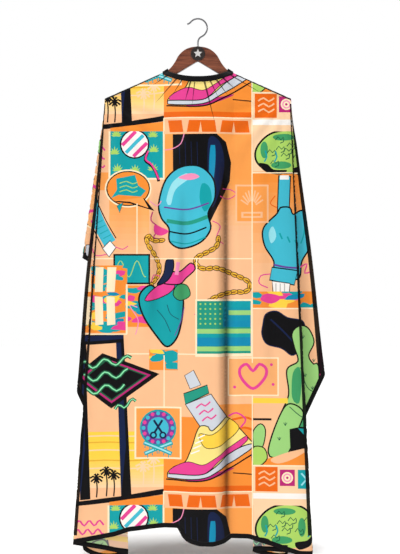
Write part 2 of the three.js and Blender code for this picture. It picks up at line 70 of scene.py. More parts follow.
# Each pleat's turn: its angle round the arm's end in the flat cut, then its lean off vertical when hung.
leftPleats = [
    (0, 0), (4.1, 4.1), (11.8, -3.6), (18.4, 3.0), (23.3, -1.9), (31.2, 6.0), (39.5, -2.3),
    (46.2, 4.4), (55.8, -5.2), (69.4, 8.4), (81.8, -4.0), (91.8, 6.0), (102.8, -5.0), (112.8, 5.0),
    (123.8, -6.0), (134.8, 5.0), (145.8, -6.0), (156.8, 5.0), (165.8, -4.0), (174.9, 5.1), (180, 0),
]
rightPleats = [
    (0, 0), (2.8, 2.8), (11.0, -5.4), (16.0, -0.4), (20.6, -5.0), (33.2, 7.6), (44.6, -3.8),
    (55.1, 6.7), (66.6, -4.8), (77.6, 6.2), (88.6, -4.8), (99.6, 6.2), (110.6, -4.8), (121.6, 6.2),
    (133.1, -5.3), (144.6, 6.2), (155.6, -4.8), (163.2, 2.8), (168.6, -2.6), (175.8, 4.2), (180, 0),
]
# Depth of the front at its hem, by x, and how far its cut edge rises or dips, by x.
frontDepth = {
    -0.30: 0.060, -0.226: 0.052, -0.162: 0.044, -0.118: 0.040, -0.085: 0.038, -0.052: 0.042,
    -0.030: 0.053, 0.0: 0.061, 0.036: 0.062, 0.060: 0.054, 0.080: 0.044, 0.110: 0.042,
    0.140: 0.044, 0.204: 0.050, 0.275: 0.056,
}
hemRise = {
    -0.40: 0.0, -0.291: 0.0074, -0.197: 0.0228, -0.164: 0.0329, -0.113: 0.0388, -0.077: 0.0424,
    -0.044: 0.0417, -0.036: 0.0345, -0.029: 0.0185, -0.019: 0.0093, 0.005: 0.0025, 0.034: 0.002,
    0.058: 0.0072, 0.069: 0.015, 0.075: 0.0187, 0.121: 0.0167, 0.179: -0.001, 0.237: -0.0205,
    0.262: -0.0205, 0.29: -0.014, 0.40: 0.0,
}
backDepth = {
    -0.28: 0.044, -0.20: 0.046, -0.15: 0.052, -0.10: 0.060, -0.05: 0.046, 0.0: 0.050,
    0.05: 0.046, 0.10: 0.058, 0.15: 0.050, 0.20: 0.044, 0.28: 0.042,
}
# Long folds of the front: place, lean, top, bottom, half width and depth, towards the viewer if positive.
frontFolds = [
    (-0.185, 0.05, -0.30, -1.00, 0.016, 0.0030), (-0.113, 0.02, -0.36, -0.78, 0.012, 0.0050),
    (-0.090, -0.01, -0.42, -0.70, 0.008, -0.0040), (-0.034, 0.015, -0.40, -0.76, 0.009, -0.0050),
    (0.045, -0.008, -0.26, -1.15, 0.011, 0.0070), (0.064, -0.004, -0.30, -1.22, 0.0075, -0.0100),
    (0.086, -0.006, -0.30, -1.15, 0.012, 0.0040), (0.150, -0.03, -0.30, -0.90, 0.014, 0.0030),
]
# Painted shade inside the long folds, and a painted highlight where the share is negative, multiplied into
# the print's colour: place, lean, top, bottom, half width and share of light taken away.
paintedFoldShading = [
    (0.0640, -0.004, -0.31, -1.30, 0.0055, 0.62), (0.0610, -0.004, -0.28, -1.30, 0.0170, 0.24),
    (0.0900, -0.006, -0.34, -1.10, 0.0110, -0.10), (-0.036, 0.010, -0.38, -0.76, 0.0075, 0.26),
    (-0.100, 0.010, -0.36, -0.74, 0.0090, 0.20), (-0.118, 0.010, -0.40, -0.70, 0.0070, -0.07),
    (0.0000, 0.000, -0.34, -0.70, 0.0120, -0.06), (0.1500, -0.030, -0.30, -0.90, 0.0120, 0.08),
]
# The visible outer wedges, whose print runs on from the front: first and last angle and turn, by side.
wedges = {-1: (23.3, 31.2, 25.2), 1: (20.6, 33.2, 25.6)}


def smoothTable(table, low, high, blur):
    # A table of positions and values as a smooth curve, evaluated by interpolation.
    x = np.linspace(low, high, 1201)
    y = np.interp(x, sorted(table), [table[k] for k in sorted(table)])
    width = max(1, int(blur / (x[1] - x[0])))
    kernel = np.hanning(2 * width + 1)
    padded = np.concatenate([np.full(width, y[0]), y, np.full(width, y[-1])])
    return x, np.convolve(padded, kernel / kernel.sum(), "valid")


frontDepthCurve = smoothTable(frontDepth, -0.36, 0.36, 0.016)
hemRiseCurve = smoothTable(hemRise, -0.5, 0.5, 0.006)
backDepthCurve = smoothTable(backDepth, -0.36, 0.36, 0.03)


def pleatCurve(pleats, blur):
    x, y = smoothTable(dict(pleats), 0, 180, blur)
    y[x < pleats[1][0] - blur] = x[x < pleats[1][0] - blur]
    return x, y


pleatCurves = {-1: pleatCurve(leftPleats, 0.75), 1: pleatCurve(rightPleats, 0.75)}
pleatEnds = {-1: (leftPleats[1][0], leftPleats[-2][0]), 1: (rightPleats[1][0], rightPleats[-2][0])}


def smoothStep(a, b, x):
    t = np.clip((x - a) / (b - a), 0, 1)
    return t * t * (3 - 2 * t)


def armTop(x):
    return hang["arm top at neck"] - (np.abs(x) - hang["neck x"]) * hang["arm slope"]


# The end of an arm's ridge, which the pleats turn about, as its place in the flat cut.
apexX = hang["apex x"]
apexFlat = float(armTop(apexX)) + hang["over arm"]


def neckLine(x, front):
    # Height and stand-off of the cloth's neck edge.
    share = np.clip(np.abs(x) / cut["neck half width"], 0, 1)
    drop = 0.0214 if front else 0.0604
    past = share if front else np.clip((share - 0.667) / 0.333, 0, 1)
    tuck = 0.0032 * (1 - share**4) if front else 0.0
    return tuck - 0.1313 - drop * (1 - share**2.4), 0.0096 + 0.0154 * (1 - past**3)


def wrinkles(x, z, amount, seed):
    # Soft, mostly upright creases.
    draw = random.Random(seed)
    total = np.zeros_like(x)
    for _ in range(9):
        wave = draw.uniform(45, 120)
        tilt = draw.uniform(-10, 10)
        phase = draw.uniform(0, 6.28)
        swell = np.sin(z * draw.uniform(5, 11) + draw.uniform(0, 6.28)) * 0.5 + 0.5
        total += np.sin(x * wave + z * tilt + phase) * swell * draw.uniform(0.4, 1)
    return total * amount / 3


def creaseLine(x, z, place, lean, top, bottom, width, depth):
    # One long fold, as a ridge towards the viewer.
    middle = place + lean * (z - top)
    share = smoothStep(top, top - 0.12, z) * smoothStep(bottom, bottom + 0.16, z)
    return depth * np.exp(-(((x - middle) / width) ** 2)) * share


def frontField(x, z):
    # How far the front of the cape stands forward of the hanger's middle.
    inNeck = np.abs(x) < cut["neck half width"]
    neckZ, neckOut = neckLine(x, True)
    top = np.where(inNeck, neckZ, armTop(x) - 0.006)
    near = np.where(inNeck, neckOut, hang["stand off"])
    hem = np.interp(x, *frontDepthCurve)
    v = np.clip((top - z) / (top + 1.225), 0, 1.2)
    out = near + (hem - near) * v**0.92
    grow = smoothStep(0, 0.12, v)
    out += wrinkles(x, z, 0.0017, 4) * grow
    for place, lean, top, bottom, width, depth in frontFolds:
        out += creaseLine(x, z, place, lean, top, bottom, width, depth)
    # Gathers run out from the neck band and from the arms' ends.
    away = np.hypot(x, z + 0.09)
    turn = np.arctan2(x, -(z + 0.09))
    gather = np.sin(turn * 15 + 1.3 * np.sin(turn * 5)) * 0.0026 + np.sin(turn * 31 + 2) * 0.0012
    out += gather * smoothStep(0.34, 0.10, away) * smoothStep(0, 0.02, top - z)
    for side in (-1, 1):
        away = np.hypot(x - side * 0.214, z + 0.185)
        turn = np.arctan2(side * 0.214 - x, -(z + 0.185))
        pull = np.sin(turn * 17 + side) * 0.0022
        out += pull * smoothStep(0.30, 0.05, away) * smoothStep(0.004, 0.03, away) * grow
    return np.maximum(out, near * 0.9)


def backField(x, z):
    inNeck = np.abs(x) < cut["neck half width"]
    neckZ, neckOut = neckLine(x, False)
    top = np.where(inNeck, neckZ, armTop(x) - 0.006)
    near = np.where(inNeck, neckOut, hang["stand off"])
    v = np.clip((top - z) / (top + 0.58), 0, 1.6)
    out = near + (np.interp(x, *backDepthCurve) - near) * v**0.9
    grow = smoothStep(0, 0.2, v)
    away = np.hypot(x, z + 0.13)
    turn = np.arctan2(x, -(z + 0.13))
    out += np.sin(turn * 13) * 0.0016 * smoothStep(0.3, 0.08, away) * smoothStep(0, 0.03, top - z)
    return np.maximum(out + wrinkles(x, z, 0.0024, 9) * grow, near * 0.95)


def overArm(distance):
    # Drop and stand-off after a length of cloth has crossed the arm's rounded top.
    arc = 0.0122
    turn = np.clip(distance / arc, 0, 1) * math.pi / 2
    past = np.maximum(distance - arc, 0)
    return 0.006 * (1 - np.cos(turn)) + past, hang["stand off"] * np.sin(turn)


def backStretch(p):
    # How much more the hanging back measures down its length than its flat cut.
    ridge = armTop(p) + hang["over arm"]
    centred = smoothStep(0.05, 0.2, np.abs(p))
    hem = hang["back hem at centre"] + (hang["back hem at side"] - hang["back hem at centre"]) * centred
    return (ridge - hem) / (cut["back hem"] - ridge)


def drape(p, q):
    # The hanging place of each point of the flat cut.
    p = np.asarray(p, float)
    q = np.asarray(q, float)
    side = np.where(p < 0, -1, 1)
    inPanel = np.abs(p) <= apexX
    ridgeFlat = armTop(np.minimum(np.abs(p), apexX)) + hang["over arm"]
    # Panels: in front of the ridge and behind it.
    across = np.abs(ridgeFlat - q)
    drop, out = overArm(across)
    frontZ = ridgeFlat - hang["over arm"] - drop
    backZ = ridgeFlat - hang["over arm"] - drop * backStretch(np.clip(p, -apexX, apexX))
    isFront = q < ridgeFlat
    # Sectors: round each arm's end.
    dx = np.abs(p) - apexX
    dz = apexFlat - q
    r = np.hypot(dx, dz)
    theta = np.degrees(np.arctan2(dx, dz))
    lean = np.where(side < 0, np.interp(theta, *pleatCurves[-1]), np.interp(theta, *pleatCurves[1]))
    first = np.where(side < 0, pleatEnds[-1][0], pleatEnds[1][0])
    last = np.where(side < 0, pleatEnds[-1][1], pleatEnds[1][1])
    share = np.clip((theta - first) / (last - first), 0, 1)
    soft = smoothStep(0.02, 0.12, r)
    lean = lean * soft + (1 - soft) * (2 + 3 * np.sin(np.radians(theta)))
    order = share**0.72 * soft + smoothStep(0, 1, share) * (1 - soft)
    sway = np.sin(theta * 0.35 + r * 9) * 0.35 * smoothStep(0.1, 0.5, r) * smoothStep(first, first + 6, theta)
    lean = np.radians(lean + sway * smoothStep(last, last - 6, theta))
    sectorDrop, sectorOut = overArm(r)
    sectorX = side * (apexX + sectorDrop * np.sin(lean))
    sectorZ = apexFlat - hang["over arm"] - sectorDrop * np.cos(lean)
    # Put together.
    x = np.where(inPanel, p, sectorX)
    z = np.where(inPanel, np.where(isFront, frontZ, backZ), sectorZ)
    share = np.where(inPanel, np.where(isFront, 0.0, 1.0), order)
    edge = np.where(inPanel, out, sectorOut) / hang["stand off"]
    y = (1 - share) * -frontField(x, z) + share * backField(x, z)
    y = y * np.clip(edge, 0, 1)
    return np.stack([x, y, z], -1)


def drapeWithNormal(p, q):
    step = 0.0012
    here = drape(p, q)
    along = drape(np.asarray(p) + step, q) - drape(np.asarray(p) - step, q)
    up = drape(p, np.asarray(q) + step) - drape(p, np.asarray(q) - step)
    normal = np.cross(along, up)
    length = np.linalg.norm(normal, axis=-1, keepdims=True)
    return here, normal / np.maximum(length, 1e-12)


def cutOutline(step=0.006):
    # The neck hole, then the cloth's edge from one end of the slit, round the outside, to the other.
    w, low, high, radius = cut["half width"], cut["front hem"], cut["back hem"], cut["corner radius"]
    slit, neck = cut["slit half width"], cut["neck half width"]

    def backNeck(x):
        ridge = float(armTop(x)) + hang["over arm"]
        fall = (ridge - hang["over arm"] - float(neckLine(np.array(x), False)[0])) / backStretch(x)
        return ridge + fall + 0.0062

    def frontNeck(x):
        return float(neckLine(np.array(x), True)[0])

    left = [(-x, backNeck(x)) for x in np.linspace(slit, neck * 0.985, 14)]
    front = [(x, frontNeck(x)) for x in -neck * np.cos(np.linspace(0.0, math.pi, 34))]
    right = [(-x, z) for x, z in reversed(left)]
    hole = left + front + right
    outside = [(slit, high)]
    for cx, cz, start in ((w, high, 90), (w, low, 0), (-w, low, -90), (-w, high, -180)):
        middle = (cx - math.copysign(radius, cx), cz - math.copysign(radius, cz - (high + low) / 2))
        for i in range(13):
            a = math.radians(start - 7.5 * i)
            outside.append((middle[0] + radius * math.cos(a), middle[1] + radius * math.sin(a)))
    outside.append((-slit, high))
    path = [(slit, right[-1][1])] + outside + [(-slit, left[0][1])]

    def divided(points):
        result = [points[0]]
        for a, b in zip(points, points[1:]):
            count = max(1, round(math.dist(a, b) / step))
            for i in range(1, count + 1):
                result.append((a[0] + (b[0] - a[0]) * i / count, a[1] + (b[1] - a[1]) * i / count))
        return result

    line = divided(path)
    rise = [float(np.interp(x, *hemRiseCurve)) if z < low + 0.02 else 0.0 for x, z in line]
    return hole, [(x, z + r) for (x, z), r in zip(line, rise)]


hole, edgePath = cutOutline()


printColors = {
    "peach": "#f3ba8c", "orange": "#ef8b33", "orangeLight": "#f59c4c", "cardOrange": "#f2ab6c",
    "deepOrange": "#e4640f", "sand": "#f6cda3", "cream": "#f9e3bd", "white": "#f1ece6",
    "paleGrey": "#c9ced6", "grey": "#b4b0ab", "black": "#060508", "navy": "#101d42",
    "blue": "#0d86ac", "teal": "#0d9aa0", "tealGreen": "#22937c", "darkTeal": "#0f5a66",
    "cyan": "#3fb4c9", "paleCyan": "#93d9e2", "pink": "#e0408e", "magenta": "#b5246f",
    "rose": "#ee8db4", "lime": "#a8cf62", "limeGreen": "#98cc78", "green": "#3d9860",
    "darkGreen": "#1c5a3d", "mint": "#86dfa6", "yellow": "#f8cc45", "paleYellow": "#f3dd83",
    "gold": "#dfa733", "brown": "#6f3a1c", "purple": "#643f93",
}
# How much of its colour the cloth keeps under each painted shadow shape, where the shade of a fold or a
# gather is painted into the print.
paintedShadowDepth = {"shadow": 0.02, "crease": 0.18}


def linear(code):
    channels = [int(code[i : i + 2], 16) / 255 for i in (1, 3, 5)]
    return [c / 12.92 if c <= 0.04045 else ((c + 0.055) / 1.055) ** 2.4 for c in channels]


# Shapes are in centimetres of the flat cut, whose front hangs as it is drawn.
# Later shapes cover earlier ones.
tile = {"width": 58.0, "height": 87.5, "side shift": -0.35}
shapes = []


def paint(color, points):
    shapes.append((color, [(float(x), float(z)) for x, z in points]))


def block(color, x0, z0, x1, z1):
    paint(color, [(x0, z0), (x1, z0), (x1, z1), (x0, z1)])


def fade(top, bottom, x0, z0, x1, z1, steps=10):
    # Strips that pass from one color to another.
    for i in range(steps):
        share = (i + 0.5) / steps
        ends = (printColors[top], printColors[bottom])
        pairs = [[int(code[k : k + 2], 16) for code in ends] for k in (1, 3, 5)]
        name = f"{top}To{bottom}{i}"
        printColors[name] = "#" + "".join(f"{round(a + (b - a) * share):02x}" for a, b in pairs)
        height = (z1 - z0) / steps
        block(name, x0, z1 - height * (i + 1), x1, z1 - height * i)


def disc(color, x, z, rx, rz=None, lean=0.0):
    rz = rz or rx
    count = max(8, min(28, int(10 + 3 * max(rx, rz))))
    c, s = math.cos(math.radians(lean)), math.sin(math.radians(lean))
    turns = [2 * math.pi * i / count for i in range(count)]
    ring = [(rx * math.cos(a), rz * math.sin(a)) for a in turns]
    paint(color, [(x + c * a - s * b, z + s * a + c * b) for a, b in ring])


def smoothed(points, closed, share=0.7):
    # A Catmull-Rom curve through the points.
    result = []
    count = len(points)
    for i in range(count if closed else count - 1):
        around = (i - 1, i, i + 1, i + 2)
        at = [points[j % count if closed else max(0, min(count - 1, j))] for j in around]
        parts = max(1, min(6, round(math.dist(at[1], at[2]) / share)))
        for k in range(parts):
            t = k / parts
            weights = (
                -t + 2 * t * t - t**3, 2 - 5 * t * t + 3 * t**3, t + 4 * t * t - 3 * t**3, t**3 - t * t
            )
            result.append(tuple(sum(w * q[n] for w, q in zip(weights, at)) / 2 for n in (0, 1)))
    return result if closed else result + [points[-1]]


def stroke(color, points, width=0.3, closed=False, smooth=True):
    # A line of even width.
    line = smoothed(points, closed) if smooth and len(points) > 2 else list(points)
    count = len(line)
    left, right = [], []
    for i, (x, z) in enumerate(line):
        a = line[(i - 1) % count] if closed else line[max(0, i - 1)]
        b = line[(i + 1) % count] if closed else line[min(count - 1, i + 1)]
        length = math.dist(a, b) or 1.0
        nx, nz = -(b[1] - a[1]) / length * width / 2, (b[0] - a[0]) / length * width / 2
        left.append((x + nx, z + nz))
        right.append((x - nx, z - nz))
    for i in range(count if closed else count - 1):
        j = (i + 1) % count
        paint(color, [left[i], right[i], right[j], left[j]])


def blob(color, points, edge=None, width=0.3, smooth=True):
    # A closed shape, with a drawn outline if edge names a colour.
    paint(color, smoothed(points, True) if smooth else points)
    if edge:
        stroke(edge, points, width, closed=True, smooth=smooth)


def frond(x, z, size, color="lime"):
    for i in range(7):
        a = math.radians(-78 + 26 * i)
        reach = size * (1 - 0.1 * abs(i - 3))
        tip = (x + reach * math.sin(a), z + reach * math.cos(a))
        side = (math.cos(a) * size * 0.11, -math.sin(a) * size * 0.11)
        half = ((x + tip[0]) / 2, (z + tip[1]) / 2)
        one, other = ((half[0] + k * side[0], half[1] + k * side[1]) for k in (1, -1))
        paint(color, [(x, z), one, tip, other])


def palm(x, z, height, color="black", size=2.0):
    stroke(color, [(x, z), (x + 0.15, z + height * 0.5), (x - 0.1, z + height)], 0.32)
    for a in (-160, -125, -75, -20, 20, 75, 125, 160):
        turn = math.radians(a)
        tip = (x + size * math.sin(turn), z + height + size * (0.62 * math.cos(turn) - 0.1))
        half = (x + size * 0.5 * math.sin(turn), z + height + size * (0.5 * math.cos(turn) + 0.18))
        stroke(color, [(x - 0.1, z + height), half, tip], 0.42)


def clippedBy(points, away):
    # The part of a polygon where a linear function isn't negative.
    result = []
    for a, b in zip(points, points[1:] + points[:1]):
        u, v = away(*a), away(*b)
        if u >= 0:
            result.append(a)
        if (u >= 0) != (v >= 0):
            t = u / (u - v)
            result.append((a[0] + t * (b[0] - a[0]), a[1] + t * (b[1] - a[1])))
    return result


def boxed(points, x0, z0, x1, z1):
    # The part of a polygon inside an upright box.
    sides = (lambda x, z: x - x0, lambda x, z: x1 - x, lambda x, z: z - z0, lambda x, z: z1 - z)
    for away in sides:
        points = clippedBy(points, away)
        if len(points) < 3:
            return []
    return points


def camouflage(x0, z0, x1, z1, seed):
    draw = random.Random(seed)
    block("orange", x0, z0, x1, z1)
    for _ in range(int((x1 - x0) * (z1 - z0) / 4.2)):
        x, z = draw.uniform(x0, x1), draw.uniform(z0, z1)
        turn, size = draw.uniform(-0.5, 0.5), draw.uniform(1.0, 2.2)
        ring = []
        for k in range(7):
            a = 2 * math.pi * k / 7
            r = size * draw.uniform(0.5, 1.15)
            ring.append((x + r * 1.5 * math.cos(a + turn), z + r * 0.62 * math.sin(a)))
        part = boxed(smoothed(ring, True, 0.9), x0, z0, x1, z1)
        if part:
            paint(draw.choice(["teal", "teal", "teal", "pink", "yellow", "blue"]), part)


def chain(points, size=1.15):
    # Links laid along a path, each turned a little from the last.
    line = smoothed(points, False, 0.4)
    gone, last = 0.0, line[0]
    for a, b in zip(line, line[1:]):
        gone += math.dist(a, b)
        if gone < size * 1.15:
            continue
        turn = math.degrees(math.atan2(b[1] - last[1], b[0] - last[0]))
        x, z = (last[0] + b[0]) / 2, (last[1] + b[1]) / 2
        for color, grow in (("black", 0.16), ("gold", 0.0), ("brown", -0.34)):
            disc(color, x, z, size * 0.82 + grow, size * 0.42 + grow, turn)
        stroke("yellow", [(x - 0.4, z + 0.25), (x + 0.3, z + 0.3)], 0.12)
        gone, last = 0.0, b


def squiggle(points, color="pink", width=0.22):
    stroke(color, points, width)


def drawGround():
    # Panels of peach and orange.
    block("peach", -29.0, -114.1, 29.0, -26.6)
    fade("orangeLight", "peach", -8.0, -50.0, 12.8, -38.0)
    block("orangeLight", -8.0, -38.0, 12.8, -26.6)
    fade("orangeLight", "peach", -20.8, -56.5, -11.4, -42.0)
    block("orangeLight", -29.0, -40.5, -20.8, -36.3)
    fade("orange", "peach", 12.8, -60.0, 29.0, -36.3)
    block("sand", 13.0, -36.0, 29.0, -25.7)


def drawSunset():
    # A sunset seen through a window, on the left.
    block("peach", -29.0, -112.4, -8.0, -94.0)
    fade("yellow", "sand", -29.0, -110.0, -8.0, -103.0)
    block("yellow", -29.0, -103.0, -8.0, -97.0)
    for i, z in enumerate((-97.9, -99.4, -101.2, -103.6, -105.4)):
        color = "gold" if i % 2 else "sand"
        stroke(color, [(-29.0, z - 0.3), (-22.0, z), (-15.0, z - 0.2), (-8.0, z + 0.5)], 0.3)
    for x, z, h in ((-23.6, -112.2, 4.4), (-21.3, -112.0, 5.8), (-19.6, -112.0, 4.9)):
        palm(x, z, h, size=1.6)
    for x, z, h in ((-12.8, -109.6, 4.4), (-10.4, -109.2, 5.8)):
        palm(x, z, h, "sand", 1.8)
    for low, high in (((-27.4, -112.8), (-28.2, -75.0)), ((-17.9, -112.2), (-19.2, -74.6))):
        blob("black", [low, (low[0] + 2.4, low[1] + 0.2), (high[0] + 1.8, high[1]), high], smooth=False)
        blob("navy", [low, (low[0] + 1.1, low[1] + 12.0), (high[0] + 1.1, high[1]), high], smooth=False)
    blob("black", [(-28.4, -77.0), (-17.4, -76.2), (-17.4, -74.2), (-28.2, -74.6)], smooth=False)
    blob("navy", [(-28.4, -76.2), (-17.6, -75.4), (-17.4, -74.4), (-28.2, -74.8)], smooth=False)
    ground = [
        (-29.0, -113.2), (-18.0, -112.0), (-8.0, -110.4), (-8.0, -111.7), (-18.0, -113.2),
        (-29.0, -114.2),
    ]
    blob("black", ground, smooth=False)
    blob("orange", [(-20.6, -114.1), (-20.6, -113.3), (-8.0, -111.8), (-8.0, -114.1)], smooth=False)


def drawShoeAndBottle():
    # A running shoe beside a bottle, middle below.
    block("orange", -8.0, -111.0, 13.0, -93.5)
    block("orangeLight", 3.0, -96.0, 13.0, -90.6)
    block("deepOrange", -8.0, -110.9, 13.0, -109.6)
    for z in (-94.2, -96.6, -99.4):
        stroke("deepOrange", [(8.0, z), (11.0, z + 0.5), (13.0, z - 0.2)], 0.5)
    blob("magenta", [(-2.2, -108.6), (4.0, -107.5), (8.6, -105.4), (4.6, -106.2), (-2.0, -107.2)])
    blob(
        "paleGrey", [(-3.1, -83.9), (-1.0, -82.6), (0.7, -86.0), (-1.8, -87.0)], "black", 0.18,
        smooth=False,
    )
    blob(
        "tealGreen", [(-3.3, -88.1), (2.2, -86.0), (2.6, -87.9), (-2.9, -90.6)], "black", 0.22,
        smooth=False,
    )
    white = [(-2.9, -90.6), (3.05, -88.1), (7.1, -94.0), (5.4, -96.9), (1.15, -96.6)]
    blob("paleGrey", white, "black", 0.22, smooth=False)
    for i in range(3):
        x, z = 0.7 * i, -1.5 * i
        stroke(
            "pink", [(-0.4 + x, -91.4 + z), (0.8 + x, -90.4 + z), (1.7 + x, -90.9 + z),
            (2.9 + x, -89.9 + z)], 0.36,
        )
    shoe = [
        (-7.1, -106.7), (-5.6, -105.2), (-3.1, -104.1), (-2.0, -102.0), (-1.2, -99.9), (-0.3, -97.0),
        (0.7, -95.5),
    ]
    shoe += [
        (2.4, -95.7), (3.3, -96.7), (6.6, -93.6), (7.5, -94.0), (9.6, -96.1), (11.7, -98.4),
        (12.9, -99.9),
    ]
    shoe += [(12.1, -101.2), (5.4, -105.4), (2.0, -107.5), (-2.2, -107.9), (-7.1, -107.7)]
    blob("paleYellow", shoe, "black", 0.24)
    band = [
        (-6.9, -106.3), (-5.2, -105.0), (-2.2, -103.9), (1.1, -104.6), (3.7, -103.3), (6.6, -101.2),
        (9.6, -99.1),
    ]
    band += [
        (11.5, -98.0), (11.7, -98.9), (9.6, -100.8), (5.4, -103.3), (2.8, -105.8), (0.3, -106.9),
        (-6.5, -106.9),
    ]
    blob("pink", band, "black", 0.16)
    collar = [
        (0.3, -97.4), (3.3, -97.6), (6.6, -95.0), (7.5, -94.0), (9.6, -96.1), (7.0, -99.0),
        (4.0, -100.6),
    ]
    blob("yellow", collar + [(1.5, -100.4)], "black", 0.16)
    sole = [(-7.1, -106.9), (0.3, -106.9), (3.3, -105.6), (6.6, -102.7), (9.6, -100.8), (12.7, -99.9)]
    blob(
        "paleGrey", sole + [(12.3, -101.2), (5.4, -105.6), (2.0, -107.5), (-2.2, -108.0),
        (-7.1, -107.7)], "black", 0.24,
    )
    for i in range(4):
        stroke("white", [(-1.6 + 0.5 * i, -102.0 + 1.2 * i), (0.4 + 0.4 * i, -101.2 + 1.2 * i)], 0.3)
    stroke("black", [(-7.4, -108.1), (1.0, -108.3), (6.0, -106.3), (12.8, -102.3)], 0.34)
    stroke("black", [(8.2, -106.6), (12.8, -107.0)], 0.25)
    squiggle([(7.2, -93.4), (9.0, -92.6), (11.2, -94.2), (10.0, -96.0)], width=0.4)


def drawBars():
    # A row of plain bars.
    block("peach", -8.0, -114.8, 12.6, -111.2)
    for i, (x, w) in enumerate(((-6.6, 3.2), (-2.6, 2.8), (1.0, 3.4), (5.2, 2.8), (8.8, 3.4))):
        lean = 0.5 if i % 2 else -0.4
        blob(
            "deepOrange", [(x, -114.4), (x + w, -114.4), (x + w + lean, -111.6), (x + lean, -111.6)],
            smooth=False,
        )


def drawShavingBrush():
    # A shaving brush: dark bristles over a bright handle.
    bristles = [
        (-5.9, -27.4), (4.4, -27.3), (6.6, -29.2), (7.8, -34.0), (7.5, -38.4), (5.6, -42.6),
        (3.8, -46.2),
    ]
    bristles += [(2.2, -49.4), (-3.0, -46.5), (-5.8, -42.0)]
    blob("black", bristles, smooth=False)
    blob("navy", [(2.5, -28.6), (5.0, -29.0), (6.2, -34.0), (5.2, -40.4), (3.2, -44.6), (2.4, -38.0)])
    blob("blue", [(3.0, -30.0), (4.0, -30.0), (4.0, -35.4), (2.9, -42.6), (2.6, -36.0)])
    for i in range(4):
        stroke("navy", [(-4.4 + 1.4 * i, -29.2), (-4.2 + 1.4 * i, -34.5 - i)], 0.14, smooth=False)
    handle = [
        (-9.2, -43.6), (-7.6, -38.2), (-4.2, -35.2), (0.4, -35.0), (3.6, -38.0), (4.0, -42.4),
        (2.4, -46.0),
    ]
    handle += [(3.0, -49.6), (0.6, -52.8), (-3.8, -54.2), (-6.6, -52.6), (-6.8, -49.4), (-8.6, -47.0)]
    blob("cyan", handle, "black", 0.4)
    blob(
        "paleCyan", [(-7.4, -43.0), (-6.0, -38.8), (-2.8, -36.6), (-1.8, -37.6), (-5.2, -40.4),
        (-6.4, -44.0)],
    )
    blob("teal", [(1.0, -39.0), (2.8, -40.0), (3.2, -43.4), (1.6, -45.6), (0.4, -42.6)])
    blob("rose", [(-4.6, -37.6), (-1.6, -36.6), (0.4, -37.4), (-1.8, -38.2)])
    for z, width, color in (
        (-44.2, 0.35, "purple"), (-47.4, 0.9, "tealGreen"), (-49.9, 0.35, "black"), (-52.2, 0.3, "teal"),
    ):
        stroke(
            color, [(-8.0 - (z + 44) * 0.2, z - 0.3), (-2.4, z - 0.9), (2.6 + (z + 44) * 0.1, z + 0.6)],
            width,
        )
    squiggle([(-8.0, -31.0), (-6.0, -30.8), (-4.0, -29.6), (-3.2, -27.2)], "rose")
    squiggle([(5.2, -42.0), (7.2, -42.6), (9.0, -41.4), (7.6, -40.4), (5.8, -40.2)])
    squiggle([(3.4, -47.8), (5.2, -49.0), (4.4, -51.6), (6.0, -53.2)])


def drawBall():
    # A striped ball on a ribbon, over ferns.
    block("cream", -21.0, -38.0, -7.8, -26.3)
    block("teal", -20.6, -37.6, -8.2, -26.6)
    for x, z in (
        (-19.2, -27.8), (-10.6, -27.9), (-19.6, -32.0), (-10.4, -31.4), (-18.9, -36.0), (-14.8, -36.2),
        (-10.6, -35.8),
    ):
        frond(x, z, 1.9)
    stroke("black", [(-11.8, -31.6), (-12.4, -33.4), (-11.0, -34.6), (-9.8, -36.4), (-9.2, -38.4)], 0.7)
    stroke("pink", [(-11.7, -31.2), (-12.3, -33.2), (-10.9, -34.4), (-9.8, -36.4), (-9.2, -38.0)], 0.42)
    disc("black", -14.9, -29.6, 3.5)
    disc("white", -14.9, -29.6, 3.15)
    for off, color in ((-1.9, "pink"), (0.0, "cyan"), (1.9, "pink")):
        half = math.sqrt(3.0**2 - off**2) * 0.69
        x, z = -14.9 + off * 0.7, -29.6 - off * 0.7
        stroke(color, [(x - half, z - half), (x + half, z + half)], 0.85, smooth=False)


def drawBubble():
    # A speech bubble with ripples in it.
    disc("cream", -16.4, -40.1, 5.5, 4.5)
    disc("black", -16.4, -40.1, 5.15, 4.15)
    disc("orange", -16.4, -40.1, 4.9, 3.9)
    blob("black", [(-20.0, -43.2), (-16.0, -43.6), (-10.2, -45.4), (-12.6, -42.4)], smooth=False)
    blob("orangeLight", [(-19.4, -43.0), (-16.0, -43.2), (-11.6, -44.7), (-13.0, -42.2)], smooth=False)
    blob(
        "teal", [(-19.2, -37.8), (-14.8, -36.9), (-14.0, -39.4), (-12.2, -40.6), (-13.4, -42.0),
        (-18.6, -41.6), (-20.4, -42.4), (-19.0, -40.4)], smooth=False,
    )
    for i in range(3):
        stroke(
            "lime", [(-18.4, -38.9 - i), (-16.8, -38.4 - i), (-15.4, -39.0 - i), (-14.2, -38.6 - i)],
            0.2,
        )
    blob("teal", [(-19.0, -44.2), (-17.6, -43.4), (-18.4, -45.8)], "black", 0.14, smooth=False)
    squiggle([(-10.6, -45.6), (-11.0, -47.6), (-9.2, -49.4), (-10.4, -51.6), (-8.4, -52.0)], "magenta", 0.3)
    blob("pink", [(-10.2, -48.6), (-8.6, -49.2), (-6.8, -50.2), (-8.6, -51.2), (-10.2, -50.6)])
    squiggle([(-11.4, -43.0), (-9.6, -44.2), (-8.6, -43.0)], "rose")


